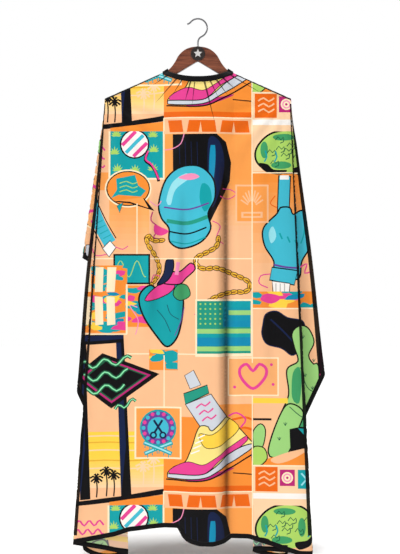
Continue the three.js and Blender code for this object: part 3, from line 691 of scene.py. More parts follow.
def drawHose():
    # A hose and its lid, on the far left.
    blob(
        "magenta", [(-29.0, -54.2), (-25.6, -54.6), (-24.8, -52.4), (-25.4, -45.0), (-29.0, -43.0)],
        "black", 0.3, smooth=False,
    )
    stroke("cyan", [(-26.6, -38.0), (-25.4, -43.0), (-23.2, -48.4), (-20.6, -53.0)], 3.0)
    stroke("black", [(-25.2, -37.6), (-23.9, -42.6), (-21.6, -47.6), (-19.2, -51.8)], 0.25)
    stroke("black", [(-28.0, -38.4), (-26.9, -43.6), (-24.8, -49.2), (-22.4, -54.0)], 0.25)
    for i in range(4):
        stroke("teal", [(-24.6 + 0.8 * i, -48.6 - 1.1 * i), (-22.4 + 0.7 * i, -47.6 - 1.1 * i)], 0.18)
    blob(
        "white", [(-22.4, -54.2), (-20.6, -52.4), (-19.2, -54.0), (-20.8, -56.2)], "black", 0.22,
        smooth=False,
    )
    squiggle([(-19.4, -53.8), (-17.6, -54.4), (-16.4, -53.6)])
    squiggle([(-25.0, -53.6), (-24.0, -55.8), (-21.4, -55.6)])


def drawCurls():
    # A bush of green curls.
    curls = [
        (13.6, -33.2), (13.9, -30.4), (16.4, -27.6), (20.0, -26.4), (24.2, -26.9), (27.0, -29.6),
        (27.6, -33.0),
    ]
    curls += [(25.6, -35.6), (22.4, -36.4), (18.6, -36.3), (15.2, -35.2)]
    blob("lime", curls, "black", 0.45)
    for x, z, rx, rz in (
        (15.6, -31.0, 0.9, 2.0), (24.2, -31.6, 0.9, 2.2), (19.6, -34.6, 2.4, 0.9),
        (20.2, -28.0, 2.6, 0.8),
    ):
        disc("green", x, z, rx, rz)
    for i in range(9):
        a = i * 2.4
        x, z = 20.4 + (0.7 + 0.62 * i) * math.cos(a), -31.4 + (0.3 + 0.42 * i) * math.sin(a)
        stroke(
            "darkGreen", [(x - 1.0, z), (x - 0.4, z + 0.8), (x + 0.3, z + 0.1), (x + 0.9, z + 0.7),
            (x + 0.9, z - 0.4), (x + 0.1, z - 0.7)], 0.22,
        )
    for x in (15.6, 18.0, 25.6):
        stroke("teal", [(x, -33.8), (x + 0.6, -32.6), (x + 0.2, -31.2)], 0.35)
    blob(
        "black", [(14.2, -34.2), (16.4, -34.4), (17.8, -35.6), (21.0, -35.8), (19.6, -36.8),
        (16.0, -36.2)],
    )
    blob("black", [(22.6, -35.2), (25.4, -34.6), (26.8, -33.2), (26.4, -35.6), (23.6, -36.8)])


def drawSprayBottle():
    stroke("black", [(20.4, -37.0), (20.0, -47.0)], 3.0)
    stroke("cyan", [(20.4, -37.3), (20.0, -47.0)], 2.5)
    block("white", 19.3, -38.0, 21.4, -37.0)
    bottle = [
        (18.6, -46.0), (15.4, -49.4), (15.6, -53.4), (17.8, -57.2), (18.0, -60.6), (23.4, -61.4),
        (24.4, -57.2),
    ]
    bottle += [(26.4, -53.6), (27.0, -48.4), (24.8, -45.2), (22.4, -46.2), (21.6, -44.6), (19.4, -44.6)]
    blob("cyan", bottle, "black", 0.36)
    blob("paleCyan", [(16.6, -50.6), (17.6, -49.0), (18.4, -51.4), (17.2, -53.0)])
    for i in range(3):
        stroke("teal", [(19.2 + 1.8 * i, -50.6 - 0.8 * i), (19.8 + 1.8 * i, -52.0 - 0.8 * i)], 0.4)
    stroke("teal", [(25.2, -47.0), (25.0, -50.6), (24.2, -53.0)], 0.3)
    stroke("purple", [(17.8, -58.0), (20.6, -58.6), (23.6, -58.8)], 0.45)
    blob("cyan", [(17.4, -58.6), (23.4, -59.4), (22.6, -62.8), (16.8, -61.6)], "black", 0.3, smooth=False)
    blob(
        "white", [(17.4, -61.8), (21.6, -62.4), (21.4, -65.0), (19.6, -65.4), (17.6, -64.4)], "black",
        0.25, smooth=False,
    )
    for i in range(3):
        stroke("grey", [(18.3 + i, -62.4), (18.3 + i, -64.4)], 0.25)
    squiggle([(17.0, -60.2), (14.8, -60.6), (14.4, -62.4), (16.4, -63.4)], "pink", 0.28)
    squiggle([(19.6, -65.6), (21.8, -65.8), (23.4, -67.6)], "pink", 0.28)
    squiggle([(24.0, -58.6), (25.6, -57.8), (25.0, -60.0), (26.6, -59.6)], "pink", 0.34)
    squiggle([(18.6, -44.6), (17.0, -43.6), (18.2, -41.8)], "deepOrange", 0.24)


def drawComb():
    # A comb stamped in a small square.
    block("peach", 8.8, -48.2, 16.6, -39.2)
    block("orangeLight", 9.2, -47.8, 16.2, -39.6)
    for i in range(9):
        a = math.radians(-64 + 16 * i)
        stroke(
            "peach", [(12.7 + 1.0 * math.sin(a), -44.6 + 1.6 * math.cos(a)),
            (12.7 + 2.9 * math.sin(a), -44.6 + 4.2 * math.cos(a))], 0.34,
        )
    block("peach", 10.2, -47.0, 15.2, -45.6)
    block("orangeLight", 10.7, -46.6, 14.7, -46.0)


def drawChains():
    chain(
        [(-8.0, -52.2), (-10.6, -52.4), (-11.8, -50.8), (-12.0, -52.8), (-10.2, -55.6), (-9.0, -58.6),
        (-9.6, -61.0), (-11.2, -63.2), (-11.0, -66.6), (-9.4, -69.0)], 1.05,
    )
    chain(
        [(4.8, -51.4), (4.4, -53.8), (1.6, -55.4), (-0.8, -56.8), (0.8, -59.0), (4.4, -58.8),
        (8.6, -60.4), (12.2, -62.2), (11.6, -64.4), (8.4, -64.4), (4.0, -65.6), (1.6, -67.6),
        (1.2, -70.6)], 1.15,
    )


def drawScreen():
    # A wave on a screen.
    block("black", -19.8, -62.6, -11.2, -55.5)
    block("teal", -19.4, -62.2, -11.6, -55.9)
    stroke(
        "lime", [(-19.0 + 0.36 * i, -59.0 + 1.9 * math.sin(0.36 * i * 1.62 + 0.2)) for i in range(20)],
        0.2
    )


def drawCamouflageCard():
    # Camouflage with plain bars on it.
    camouflage(-29.0, -74.0, -16.6, -58.2, 7)
    camouflage(-17.0, -72.6, -11.4, -62.9, 11)
    for i, x in enumerate((-26.9, -24.2, -21.4)):
        blob(
            "cream", [(x, -64.4), (x + 1.9, -64.4), (x + 1.9 + 0.2 * i, -58.6), (x + 0.2, -58.6)],
            smooth=False,
        )
        blob("cream", [(x + 0.2, -72.2), (x + 2.1, -72.0), (x + 1.9, -65.6), (x, -65.4)], smooth=False)
    block("cream", -16.9, -74.2, -16.6, -62.6)
    camouflage(-11.4, -82.7, -4.7, -77.9, 5)
    camouflage(12.8, -68.1, 29.0, -64.3, 3)


def drawHeart():
    # A plum-shaped heart with tubes.
    heart = [
        (-12.6, -71.6), (-13.2, -74.0), (-11.8, -77.6), (-8.4, -82.0), (-5.6, -84.4), (-2.8, -82.0),
        (-1.4, -76.6), (-1.4, -72.4), (-3.2, -69.6), (-6.0, -69.8), (-7.6, -71.6), (-10.0, -70.0),
    ]
    heart = [(-13.8 + (x + 13.2) * 0.87, z + 7.2) for x, z in heart]
    blob("teal", heart, "black", 0.42)
    blob(
        "pink", [(-12.4, -66.4), (-11.0, -64.2), (-8.0, -62.2), (-5.4, -62.8), (-6.6, -64.6),
        (-10.0, -66.2)], "black", 0.22,
    )
    blob("green", [(-4.8, -62.8), (-2.6, -62.8), (-1.8, -65.2), (-4.2, -66.4), (-5.8, -65.0)], "black", 0.2)
    blob(
        "pink", [(-8.4, -62.2), (-6.6, -59.8), (-4.2, -59.6), (-1.6, -57.6), (-0.6, -59.0),
        (-2.8, -61.2), (-4.4, -62.6)], "black", 0.3,
    )
    blob(
        "navy", [(-9.6, -62.8), (-8.0, -60.0), (-7.4, -57.0), (-5.8, -56.8), (-5.8, -59.4),
        (-7.2, -61.8)], "black", 0.26,
    )
    stroke("rose", [(-5.0, -60.4), (-4.6, -57.4)], 0.9)
    stroke("darkTeal", [(-9.6, -68.6), (-7.8, -70.8), (-6.4, -73.8)], 0.2)
    stroke("purple", [(-3.2, -68.0), (-4.0, -71.4), (-5.4, -74.6)], 0.2)
    stroke("darkTeal", [(-7.2, -67.4), (-6.4, -69.6), (-4.4, -70.8)], 0.2)
    squiggle([(-8.8, -60.8), (-10.4, -60.4), (-10.8, -62.0)])
    squiggle([(-0.6, -68.4), (0.8, -67.8), (1.0, -69.2), (-0.8, -69.6)])
    squiggle([(-14.2, -68.0), (-16.0, -67.6), (-14.0, -71.0), (-14.6, -74.4)], "rose")


def drawDotsAndStripes():
    block("cream", -0.6, -79.5, 12.8, -66.1)
    block("tealGreen", -0.2, -79.0, 12.4, -66.5)
    fade("teal", "blue", 5.8, -72.6, 12.4, -66.5, 4)
    block("blue", -0.2, -77.0, 12.4, -74.1)
    block("teal", -0.2, -75.0, 12.4, -74.1)
    for x, z in ((-0.2, -74.1), (-0.2, -78.2), (7.2, -69.8)):
        block("limeGreen", x, z, 12.4, z + 1.1)
    for i in range(5):
        for k in range(5):
            disc("lime", 0.6 + 1.15 * i, -67.2 - 1.15 * k, 0.22)


def drawCactus():
    # A cactus with a dark flower.
    hair = [
        (15.2, -72.2), (15.9, -69.6), (18.4, -68.9), (21.0, -70.4), (24.6, -71.4), (25.0, -75.6),
        (22.4, -79.2), (19.6, -77.6), (16.2, -76.6), (15.0, -74.4),
    ]
    blob("black", hair, "navy", 0.25)
    stroke("navy", [(17.0, -70.8), (20.0, -73.6), (22.6, -76.4)], 0.4)
    body = [
        (22.0, -74.2), (23.6, -72.4), (26.0, -73.0), (27.6, -76.2), (26.2, -79.4), (27.6, -81.4),
        (29.0, -82.0),
    ]
    body += [
        (29.0, -92.6), (26.4, -96.4), (22.0, -97.8), (19.4, -93.6), (21.2, -88.4), (20.8, -82.6),
        (23.4, -80.6), (22.6, -77.4),
    ]
    blob("limeGreen", body, "black", 0.34)
    blob("green", [(22.2, -83.4), (23.8, -82.0), (24.2, -86.0), (23.6, -90.4), (22.0, -89.0)])
    blob("green", [(24.8, -92.8), (27.0, -91.4), (28.6, -93.8), (25.8, -96.4), (23.6, -95.6)])
    blob(
        "limeGreen", [(16.4, -101.8), (18.2, -95.4), (21.0, -90.6), (24.6, -92.4), (23.0, -97.4),
        (20.8, -102.4), (18.4, -103.2)], "black", 0.34,
    )
    blob(
        "limeGreen", [(13.0, -96.8), (14.6, -95.2), (15.8, -96.6), (15.2, -100.4), (13.4, -102.0),
        (12.9, -99.4)], "black", 0.26,
    )
    for x, z in (
        (24.6, -75.4), (25.4, -84.4), (27.4, -87.4), (25.2, -89.8), (20.4, -95.6), (19.0, -99.0),
        (27.6, -80.9),
    ):
        for a in (-30, 0, 30):
            tip = (x + 0.8 * math.sin(math.radians(a)), z + 0.8 * math.cos(math.radians(a)))
            stroke("darkGreen", [(x, z), tip], 0.14, smooth=False)
    stroke("darkGreen", [(24.0, -82.0), (26.0, -86.8), (28.6, -88.2)], 0.2)
    stroke("darkGreen", [(21.4, -91.2), (24.4, -93.6), (27.6, -94.0)], 0.2)
    blob(
        "black", [(21.4, -96.4), (24.2, -95.8), (29.0, -97.0), (29.0, -101.8), (24.6, -101.6),
        (21.6, -102.4)], smooth=False,
    )
    blob("teal", [(23.4, -96.2), (26.0, -96.4), (29.0, -98.6), (29.0, -100.4), (25.6, -98.6)], smooth=False)
    blob(
        "orange", [(13.0, -105.4), (16.0, -103.4), (21.0, -102.2), (25.0, -101.0), (29.0, -101.2),
        (29.0, -106.0), (13.0, -106.0)],
    )
    blob("peach", [(17.0, -103.4), (21.0, -101.8), (26.0, -100.8), (22.0, -103.4), (18.6, -104.4)])
    blob(
        "lime", [(12.9, -100.8), (15.4, -100.8), (16.2, -103.2), (14.6, -104.9), (12.9, -104.9)],
        "black", 0.26,
    )
    block("yellow", 12.9, -90.4, 21.0, -89.2)
    block("black", 12.9, -94.4, 17.2, -93.9)


def drawCard():
    # A heart outline on a card.
    block("cream", 7.0, -88.7, 18.9, -79.7)
    block("cardOrange", 7.3, -88.4, 18.6, -80.0)
    outline = [
        (12.9, -87.0), (10.2, -84.6), (9.8, -82.4), (11.4, -81.3), (12.9, -82.9), (14.4, -81.3),
        (16.0, -82.4),
    ]
    stroke("pink", outline + [(15.6, -84.6)], 0.7, closed=True)
    for x, z in ((8.6, -86.6), (17.2, -81.4), (17.6, -86.0)):
        disc("pink", x, z, 0.35)


def drawNeonSign():
    # A neon arrow with ripples of tube.
    for color, rim in (("black", 1.0), ("magenta", 0.82), ("darkGreen", 0.74), ("black", 0.68)):
        corners = ((-29.6, -84.5), (-22.3, -78.7), (-9.0, -83.6), (-20.2, -91.6))
        blob(
            color, [(-19.9 + (x + 19.9) * rim, -84.8 + (z + 84.8) * rim) for x, z in corners],
            smooth=False
        )
    for color, width in (("darkGreen", 0.9), ("mint", 0.32)):
        for i in range(3):
            ripple = []
            for k in range(15 - 2 * i):
                height = -81.8 - 2.9 * i + 0.9 * math.sin(1.1 * k + i) + 0.12 * k
                ripple.append((-28.2 + i + 0.9 * k, height))
            stroke(color, ripple, width)
        stroke(
            color, [(-19.4 + 0.7 * k, -91.8 + 0.7 * math.sin(1.4 * k) + 0.3 * k) for k in range(8)],
            width * 0.8
        )


def drawRoundel():
    # A roundel with scissors over crossed combs.
    block("cream", -14.8, -103.4, -3.8, -91.2)
    block("orangeLight", -14.4, -103.0, -4.2, -91.6)
    disc("teal", -9.3, -96.2, 4.3)
    disc("purple", -9.3, -96.2, 3.9)
    for i in range(16):
        a = 2 * math.pi * i / 16
        disc("pink" if i % 2 else "cyan", -9.3 + 3.4 * math.cos(a), -96.2 + 3.4 * math.sin(a), 0.46)
    disc("cyan", -9.3, -96.2, 2.5)
    stroke("navy", [(-10.3, -94.4), (-8.5, -97.2)], 0.5)
    stroke("navy", [(-8.3, -94.4), (-10.1, -97.2)], 0.5)
    for x in (-10.4, -8.2):
        disc("navy", x, -97.9, 0.85)
        disc("cyan", x, -97.9, 0.45)
    for side in (-1, 1):
        stroke("teal", [(-9.3 - 3.4 * side, -99.6), (-9.3 + 3.2 * side, -102.2)], 0.95)
        stroke("paleCyan", [(-9.3 - 3.2 * side, -99.6), (-9.3 + 3.0 * side, -102.1)], 0.4)
        for i in range(6):
            x = -9.3 - 3.0 * side + 1.1 * i * side
            stroke("teal", [(x, -99.9 - 0.44 * i), (x - 0.1 * side, -100.9 - 0.44 * i)], 0.22, smooth=False)


def drawStamps():
    # Sand corner and stamps, right below.
    block("sand", 12.9, -114.1, 29.0, -104.8)
    block("deepOrange", 13.4, -110.9, 18.6, -105.2)
    for i in range(3):
        stroke(
            "peach", [(14.2, -106.9 - 1.3 * i), (15.5, -106.2 - 1.3 * i), (16.7, -107.0 - 1.3 * i),
            (18.0, -106.2 - 1.3 * i)], 0.36,
        )
    block("magenta", 19.1, -109.6, 22.6, -105.8)
    for radius, color in ((1.35, "cream"), (1.0, "rose"), (0.7, "cream"), (0.3, "magenta")):
        disc(color, 20.85, -107.7, radius)
    block("teal", 23.3, -110.2, 27.4, -105.8)
    for side in (-1, 1):
        stroke("paleCyan", [(24.1, -108.0 - 1.4 * side), (26.6, -108.0 + 1.4 * side)], 0.4)
    block("white", 12.9, -112.6, 29.0, -111.3)


def drawRipples():
    for k in range(3):
        squiggle(
            [(-28.2 + 0.45 * i, -30.6 - 2.0 * k + 0.6 * math.sin(1.2 * i + k)) for i in range(15)],
            "pink", 0.42
        )


def drawSeams():
    # Pale lines between the panels.
    for x, z0, z1 in (
        (-20.9, -37.6, -26.6), (-8.0, -114.1, -111.0), (-14.3, -55.5, -43.6), (12.75, -81.0, -26.6),
        (12.75, -114.1, -88.6),
        (-0.3, -66.4, -56.6), (-7.9, -91.4, -79.2), (-16.6, -74.3, -62.6),
    ):
        block("cream", x - 0.13, z0, x + 0.13, z1)
    for z, x0, x1 in (
        (-56.6, -26.0, -19.8), (-56.6, -11.2, 12.8), (-36.4, 12.8, 29.0), (-78.9, -16.6, -11.4),
        (-74.3, -29.0, -16.6),
        (-111.0, -8.0, 12.8), (-104.9, 12.8, 29.0), (-68.3, 12.8, 29.0), (-78.9, -4.6, 12.8),
    ):
        block("cream", x0, z - 0.13, x1, z + 0.13)


# Later motifs cover earlier ones.
motifs = [
    drawGround, drawSunset, drawShoeAndBottle, drawBars, drawShavingBrush, drawBall, drawBubble,
    drawHose, drawCurls, drawSprayBottle, drawComb, drawChains, drawScreen, drawCamouflageCard,
    drawHeart, drawDotsAndStripes, drawCactus, drawCard, drawNeonSign, drawRoundel, drawStamps,
    drawRipples, drawSeams,
]
for drawMotif in motifs:
    drawMotif()
print("scene:", len(shapes), "printed shapes to a repeat")


def insideAll(points, polygon):
    # Which points lie inside a polygon, counted by winding.
    winding = np.zeros(len(points), int)
    x, z = points[:, 0], points[:, 1]
    for (x0, z0), (x1, z1) in zip(polygon, polygon[1:] + polygon[:1]):
        side = (x1 - x0) * (z - z0) - (x - x0) * (z1 - z0)
        winding += ((z0 <= z) & (z1 > z) & (side > 0)).astype(int)
        winding -= ((z0 > z) & (z1 <= z) & (side < 0)).astype(int)
    return winding != 0


loop = hole + edgePath[1:-1]


def triangulate(extraPoints, polygons):
    # Triangles of the cut that follow every polygon's edges.
    points = [Vector(p) for p in loop]
    edges = [(i, (i + 1) % len(loop)) for i in range(len(loop))]
    for p in extraPoints:
        points.append(Vector(p))
    for polygon in polygons:
        first = len(points)
        line = []
        for a, b in zip(polygon, polygon[1:] + polygon[:1]):
            parts = max(1, round(math.dist(a, b) / (cut["grid"] * 1.2)))
            for i in range(parts):
                line.append((a[0] + (b[0] - a[0]) * i / parts, a[1] + (b[1] - a[1]) * i / parts))
        points += [Vector(p) for p in line]
        edges += [(first + i, first + (i + 1) % len(line)) for i in range(len(line))]
    flat, _, triangles, *_ = delaunay_2d_cdt(points, edges, [], 0, 1e-5)
    flat = np.array([tuple(v) for v in flat])
    triangles = np.array([t for t in triangles if len(t) == 3])
    middle = flat[triangles].mean(axis=1)
    keep = insideAll(middle, loop)
    triangles = triangles[keep]
    a, b, c = (flat[triangles[:, i]] for i in range(3))
    area = (b[:, 0] - a[:, 0]) * (c[:, 1] - a[:, 1]) - (b[:, 1] - a[:, 1]) * (c[:, 0] - a[:, 0])
    triangles[area < 0] = triangles[area < 0][:, ::-1]
    triangles = triangles[np.abs(area) > 1e-12]
    used, triangles = np.unique(triangles, return_inverse=True)
    return flat[used], triangles.reshape(-1, 3)


def placedShapes():
    # The shapes of every repeat, in metres, that reach the cut.
    w, low, high = cut["half width"], cut["front hem"], cut["back hem"]
    result = []
    for column in (-1, 0, 1):
        for row in (-1, 0, 1, 2):
            dx = column * tile["width"]
            dz = (row + (tile["side shift"] if column else 0)) * tile["height"]
            for color, points in shapes:
                moved = [((x + dx) / 100, (z + dz) / 100) for x, z in points]
                xs, zs = [p[0] for p in moved], [p[1] for p in moved]
                if max(xs) > -w and min(xs) < w and max(zs) > low and min(zs) < high:
                    result.append((color, moved))
    return result


def turned(points, side, angle):
    # Flat points turned outwards round an arm's end.
    c, s = math.cos(math.radians(angle)), math.sin(math.radians(angle))
    away = [(side * x - apexX, apexFlat - z) for x, z in points]
    return [(side * (apexX + dx * c + dz * s), apexFlat - (dz * c - dx * s)) for dx, dz in away]


def wedgeShapes(placed):
    # The print of each visible outer wedge, which runs on from the front across the crease.
    result = []
    for side, (first, last, turn) in wedges.items():
        reach = 1.25  # past the cut's far edge
        ground = [(side * apexX, apexFlat)]
        for angle in (first, last):
            a = math.radians(angle)
            ground.append((side * (apexX + math.sin(a) * reach), apexFlat - math.cos(a) * reach))
        result.append(("peach", ground))
        for color, points in placed:
            part = turned(points, side, turn)
            for angle, sign in ((first, 1), (last, -1)):
                c, s = math.cos(math.radians(angle)), math.sin(math.radians(angle))
                part = clippedBy(part, lambda x, z: sign * ((side * x - apexX) * c - (apexFlat - z) * s))
                if len(part) < 3:
                    break
            if len(part) >= 3 and max(apexFlat - z for _, z in part) > 0:
                result.append((color, part))
    return result


# Painted shadow lines along the front's folded sides and the outermost folds: side, angle round the arm's
# end, reach, width at the top and widening with the reach, in radians.
foldShadowLines = [
    (1, rightPleats[1][0], 1.03, 0.0036, 0.0100), (-1, leftPleats[1][0], 1.03, 0.0030, 0.0090),
    (1, wedges[1][1], 0.66, 0.0040, 0.0210), (-1, wedges[-1][1], 0.72, 0.0036, 0.0170),
]
# Angles of the painted shadow lines that run out from the neck's gathers, round a centre below the neck.
gathers = {"angles": (-66, -57, -44, -31, -16, -5, 11, 25, 37, 49, 62, 69), "centre z": -0.088}


def shadowShapes():
    # Painted shadow lines, which darken the print, along the front's folded sides, the outermost folds, the
    # arms' tops and the neck's gathers.
    result = []
    for side, angle, reach, top, spread in foldShadowLines:
        inner, outer = [], []
        for i in range(13):
            r = 0.02 + (reach - 0.02) * i / 12
            for edge, share in ((inner, -1.0), (outer, 0.5)):
                theta = math.radians(angle) + share * (top / r + spread)
                edge.append((side * (apexX + r * math.sin(theta)), apexFlat - r * math.cos(theta)))
        result.append(("shadow", inner + outer[::-1]))
    for side in (-1, 1):
        ends = [(side * x, float(armTop(x)) + hang["over arm"]) for x in (0.09, apexX)]
        drops = (-0.002, -0.002, 0.0115, 0.0100)
        result.append(("shadow", [(x, z - d) for (x, z), d in zip(ends + ends[::-1], drops)]))
    draw = random.Random(21)
    for angle in gathers["angles"]:
        a = math.radians(angle + draw.uniform(-3, 3))
        near, far = 0.064 + 0.032 * abs(math.sin(a)) ** 3, 0.10 + draw.uniform(0.01, 0.09)
        width = draw.uniform(0.0026, 0.0052)
        start, end = ((r * math.sin(a), gathers["centre z"] - r * math.cos(a)) for r in (near, far))
        half = (math.cos(a) * width / 2, math.sin(a) * width / 2)
        before, after = ((start[0] + k * half[0], start[1] + k * half[1]) for k in (-1, 1))
        # Each gather's line is painted shade, tapering from the neck.
        result.append(("crease", [before, end, after]))
    return result


def foldShade(x, z, front):
    # Painted shade, and a painted highlight where a fold's share is negative: the share of light that reaches
    # each point inside the long folds, under the arms' ends and inside the front's folded sides, for
    # multiplying into the print's colour.
    shade = np.ones_like(x)
    for place, lean, top, bottom, width, share in paintedFoldShading:
        middle = place + lean * (z - top)
        along = smoothStep(top, top - 0.14, z) * smoothStep(bottom, bottom + 0.10, z)
        shade *= 1 - share * np.exp(-(((x - middle) / width) ** 2)) * along
    for side in (-1, 1):
        # Painted shade under each arm's end, then painted shade inside the front's folded side, fading out
        # towards the shoulder.
        away = np.hypot((x - side * 0.214) / 1.5, (z + 0.168) / 0.6)
        shade *= 1 - 0.6 * np.exp(-((away / 0.024) ** 2))
        lean = math.tan(math.radians(rightPleats[1][0] if side > 0 else leftPleats[1][0]))
        inside = apexX + (-0.187 - z) * lean - side * x
        shade *= 1 - 0.26 * np.exp(-(np.maximum(inside, 0) / 0.016)) * smoothStep(-0.19, -0.30, z)
    return np.where(front, shade, 1.0)


def colorTriangles(flat, triangles, placed, paler):
    middle = flat[triangles].mean(axis=1)
    colors = np.tile(np.array(linear(printColors["peach"])), (len(middle), 1))
    order = np.argsort(middle[:, 1])
    heights = middle[order, 1]
    for color, polygon in placed:
        zs = [p[1] for p in polygon]
        xs = [p[0] for p in polygon]
        near = order[np.searchsorted(heights, min(zs)) : np.searchsorted(heights, max(zs))]
        near = near[(middle[near, 0] >= min(xs)) & (middle[near, 0] <= max(xs))]
        if len(near) == 0:
            continue
        hit = near[insideAll(middle[near], polygon)]
        # Painted shadow shapes darken the print under them instead of covering it.
        if color in paintedShadowDepth:
            colors[hit] *= paintedShadowDepth[color]
        else:
            colors[hit] = linear(printColors[color])
    return colors * (1 - paler) + paler * 0.72  # towards a pale grey


def meshFrom(name, vertices, faces, normals=None):
    mesh = bpy.data.meshes.new(name)
    mesh.from_pydata([tuple(v) for v in vertices], [], [tuple(int(i) for i in f) for f in faces])
    mesh.update()
    for polygon in mesh.polygons:
        polygon.use_smooth = True
    if normals is not None:
        mesh.normals_split_custom_set_from_vertices([tuple(n) for n in normals])
    piece = bpy.data.objects.new(name, mesh)
    scene.collection.objects.link(piece)
    return piece


def foldPoints():
    # Extra points along each pleat's turn, so that it rounds smoothly.
    points = []
    w, low, high = cut["half width"], cut["front hem"], cut["back hem"]
    for side, pleats in ((-1, leftPleats), (1, rightPleats)):
        for turn, _ in pleats[1:-1]:
            for offset in (-0.9, -0.3, 0.3, 0.9):
                theta = math.radians(turn + offset)
                for r in np.arange(0.012, 1.3, 0.012):
                    x, z = apexX + r * math.sin(theta), apexFlat - r * math.cos(theta)
                    if x < w - 0.004 and low + 0.004 < z < high - 0.004:
                        points.append((side * x, z))
    return points


def buildCape():
    w, low, high = cut["half width"], cut["front hem"], cut["back hem"]
    step = cut["grid"]
    grid = [(x + 1e-5, z) for x in np.arange(-w + step, w, step) for z in np.arange(low + step, high, step)]
    # Extra points round the deepest painted fold shade, so that its narrow dark core keeps its shape.
    deep = paintedFoldShading[0][0]
    near = [(deep + k * 0.0022, z) for k in range(-6, 7) for z in np.arange(-1.2, -0.3, 0.009)]
    placed = placedShapes()
    placed += wedgeShapes(placed) + shadowShapes()
    flat, triangles = triangulate(grid + foldPoints() + near, [p for _, p in placed])
    place, normal = drapeWithNormal(flat[:, 0], flat[:, 1])
    inFront = (np.abs(flat[:, 0]) <= apexX + 0.06) & (flat[:, 1] < armTop(flat[:, 0]) + hang["over arm"])
    # Painted shade of the folds, multiplied into every corner's print colour below.
    shade = foldShade(place[:, 0], place[:, 2], inFront)
    parts = []
    for paler, side in ((0.0, 1), (0.25, -1)):
        colors = colorTriangles(flat, triangles, placed, paler)
        colors = (colors[:, None, :] * shade[triangles][..., None])[:, ::side].reshape(-1, 3)
        offset = side * normal * cut["thickness"] / 2
        parts.append([place + offset, triangles[:, ::side].copy(), normal * side, colors, flat])
        print("scene: cloth side", side, len(flat), "points", len(triangles), "triangles")
    parts[1][1] += len(flat)
    vertices, triangles, normals, colors, flat = (np.concatenate(pair) for pair in zip(*parts))
    piece = meshFrom("cape_cloth", vertices, triangles, normals)
    shadedPrint = piece.data.color_attributes.new("printWithPaintedShade", "FLOAT_COLOR", "CORNER")
    shadedPrint.data.foreach_set("color", np.c_[colors, np.ones(len(colors))].ravel())
    uv = piece.data.uv_layers.new(name="cut")
    uv.data.foreach_set("uv", flat[triangles.ravel()].ravel())
    return piece


binding = {"width": 0.0112, "thickness": 0.0011, "pucker": 0.0004}


def tapeAlong(name, points):
    # A tape folded over the cloth's edge, with the cloth between its two sides.
    width, thickness = binding["width"], binding["thickness"]
    points = np.array(points)
    count = len(points)
    ahead = np.vstack([points[1:], points[-1:] * 2 - points[-2:-1]])
    behind = np.vstack([points[:1] * 2 - points[1:2], points[:-1]])
    along = ahead - behind
    along /= np.linalg.norm(along, axis=1, keepdims=True)
    inward = np.stack([-along[:, 1], along[:, 0]], -1)
    length = np.concatenate([[0], np.cumsum(np.linalg.norm(np.diff(points, axis=0), axis=1))])
    pucker = binding["pucker"] * (np.sin(length * 420) + 0.6 * np.sin(length * 173 + 1))
    # Across: from the outer face's inner border, over the edge, to the inner face's.
    across = [
        (1.0, 0.10, 0), (0.97, 0.62, 0), (0.8, 0.8, 0.6), (0.45, 1.0, 1), (0.12, 0.9, 0.6),
        (-0.03, 0.0, 0),
    ]
    profile = across + [(a, -b, c) for a, b, c in reversed(across[:-1])]
    rows = []
    place, _ = drapeWithNormal(points[:, 0], points[:, 1])
    for inset, lift, share in profile:
        at = points + inward * max(inset, 0) * width
        here, up = drapeWithNormal(at[:, 0], at[:, 1])
        if inset < 0:
            inner, _ = drapeWithNormal(*(points + inward * 0.002).T)
            outwards = place - inner
            outwards /= np.maximum(np.linalg.norm(outwards, axis=1, keepdims=True), 1e-9)
            here = here + outwards * -inset * width
        rise = lift * (thickness + cut["thickness"] / 2) + share * pucker * np.sign(lift)
        rows.append(here + up * rise[:, None])
    vertices = np.concatenate(rows)
    faces = []
    for k in range(len(rows) - 1):
        for i in range(count - 1):
            corner = k * count + i
            faces.append((corner, corner + 1, corner + count + 1, corner + count))
    faces.append(tuple(k * count for k in range(len(rows))))
    faces.append(tuple(k * count + count - 1 for k in reversed(range(len(rows)))))
    piece = meshFrom(name, vertices, faces)
    uv = piece.data.uv_layers.new(name="tape")
    for polygon in piece.data.polygons:
        for corner, vertex in zip(polygon.loop_indices, polygon.vertices):
            row, i = divmod(vertex, count)
            uv.data[corner].uv = (length[i], row / (len(rows) - 1) * width * 2)
    return piece


def newGroup(name, inputs, outputs):
    group = bpy.data.node_groups.new(name, "ShaderNodeTree")
    for label, kind, value in inputs:
        socket = group.interface.new_socket(label, in_out="INPUT", socket_type=kind)
        if value is not None:
            socket.default_value = value
    for label, kind in outputs:
        group.interface.new_socket(label, in_out="OUTPUT", socket_type=kind)
    return group, group.nodes.new("NodeGroupInput"), group.nodes.new("NodeGroupOutput")


def addNode(tree, kind, settings=None, **sockets):
    node = tree.nodes.new(kind)
    for key, value in (settings or {}).items():
        setattr(node, key, value)
    for key, value in sockets.items():
        byNumber = key[0] == "i" and key[1:].isdigit()
        socket = node.inputs[int(key[1:]) if byNumber else key.replace("_", " ")]
        if hasattr(value, "is_output"):
            tree.links.new(value, socket)
        else:
            socket.default_value = value
    return node


def mathNode(tree, operation, a, b=0.0):
    return addNode(tree, "ShaderNodeMath", {"operation": operation}, i0=a, i1=b).outputs[0]


def mixColor(tree, share, a, b, blend="MIX"):
    node = addNode(tree, "ShaderNodeMix", {"data_type": "RGBA", "blend_type": blend}, i0=share)
    for index, value in ((6, a), (7, b)):
        if hasattr(value, "is_output"):
            tree.links.new(value, node.inputs[index])
        else:
            node.inputs[index].default_value = value
    return node.outputs[2]


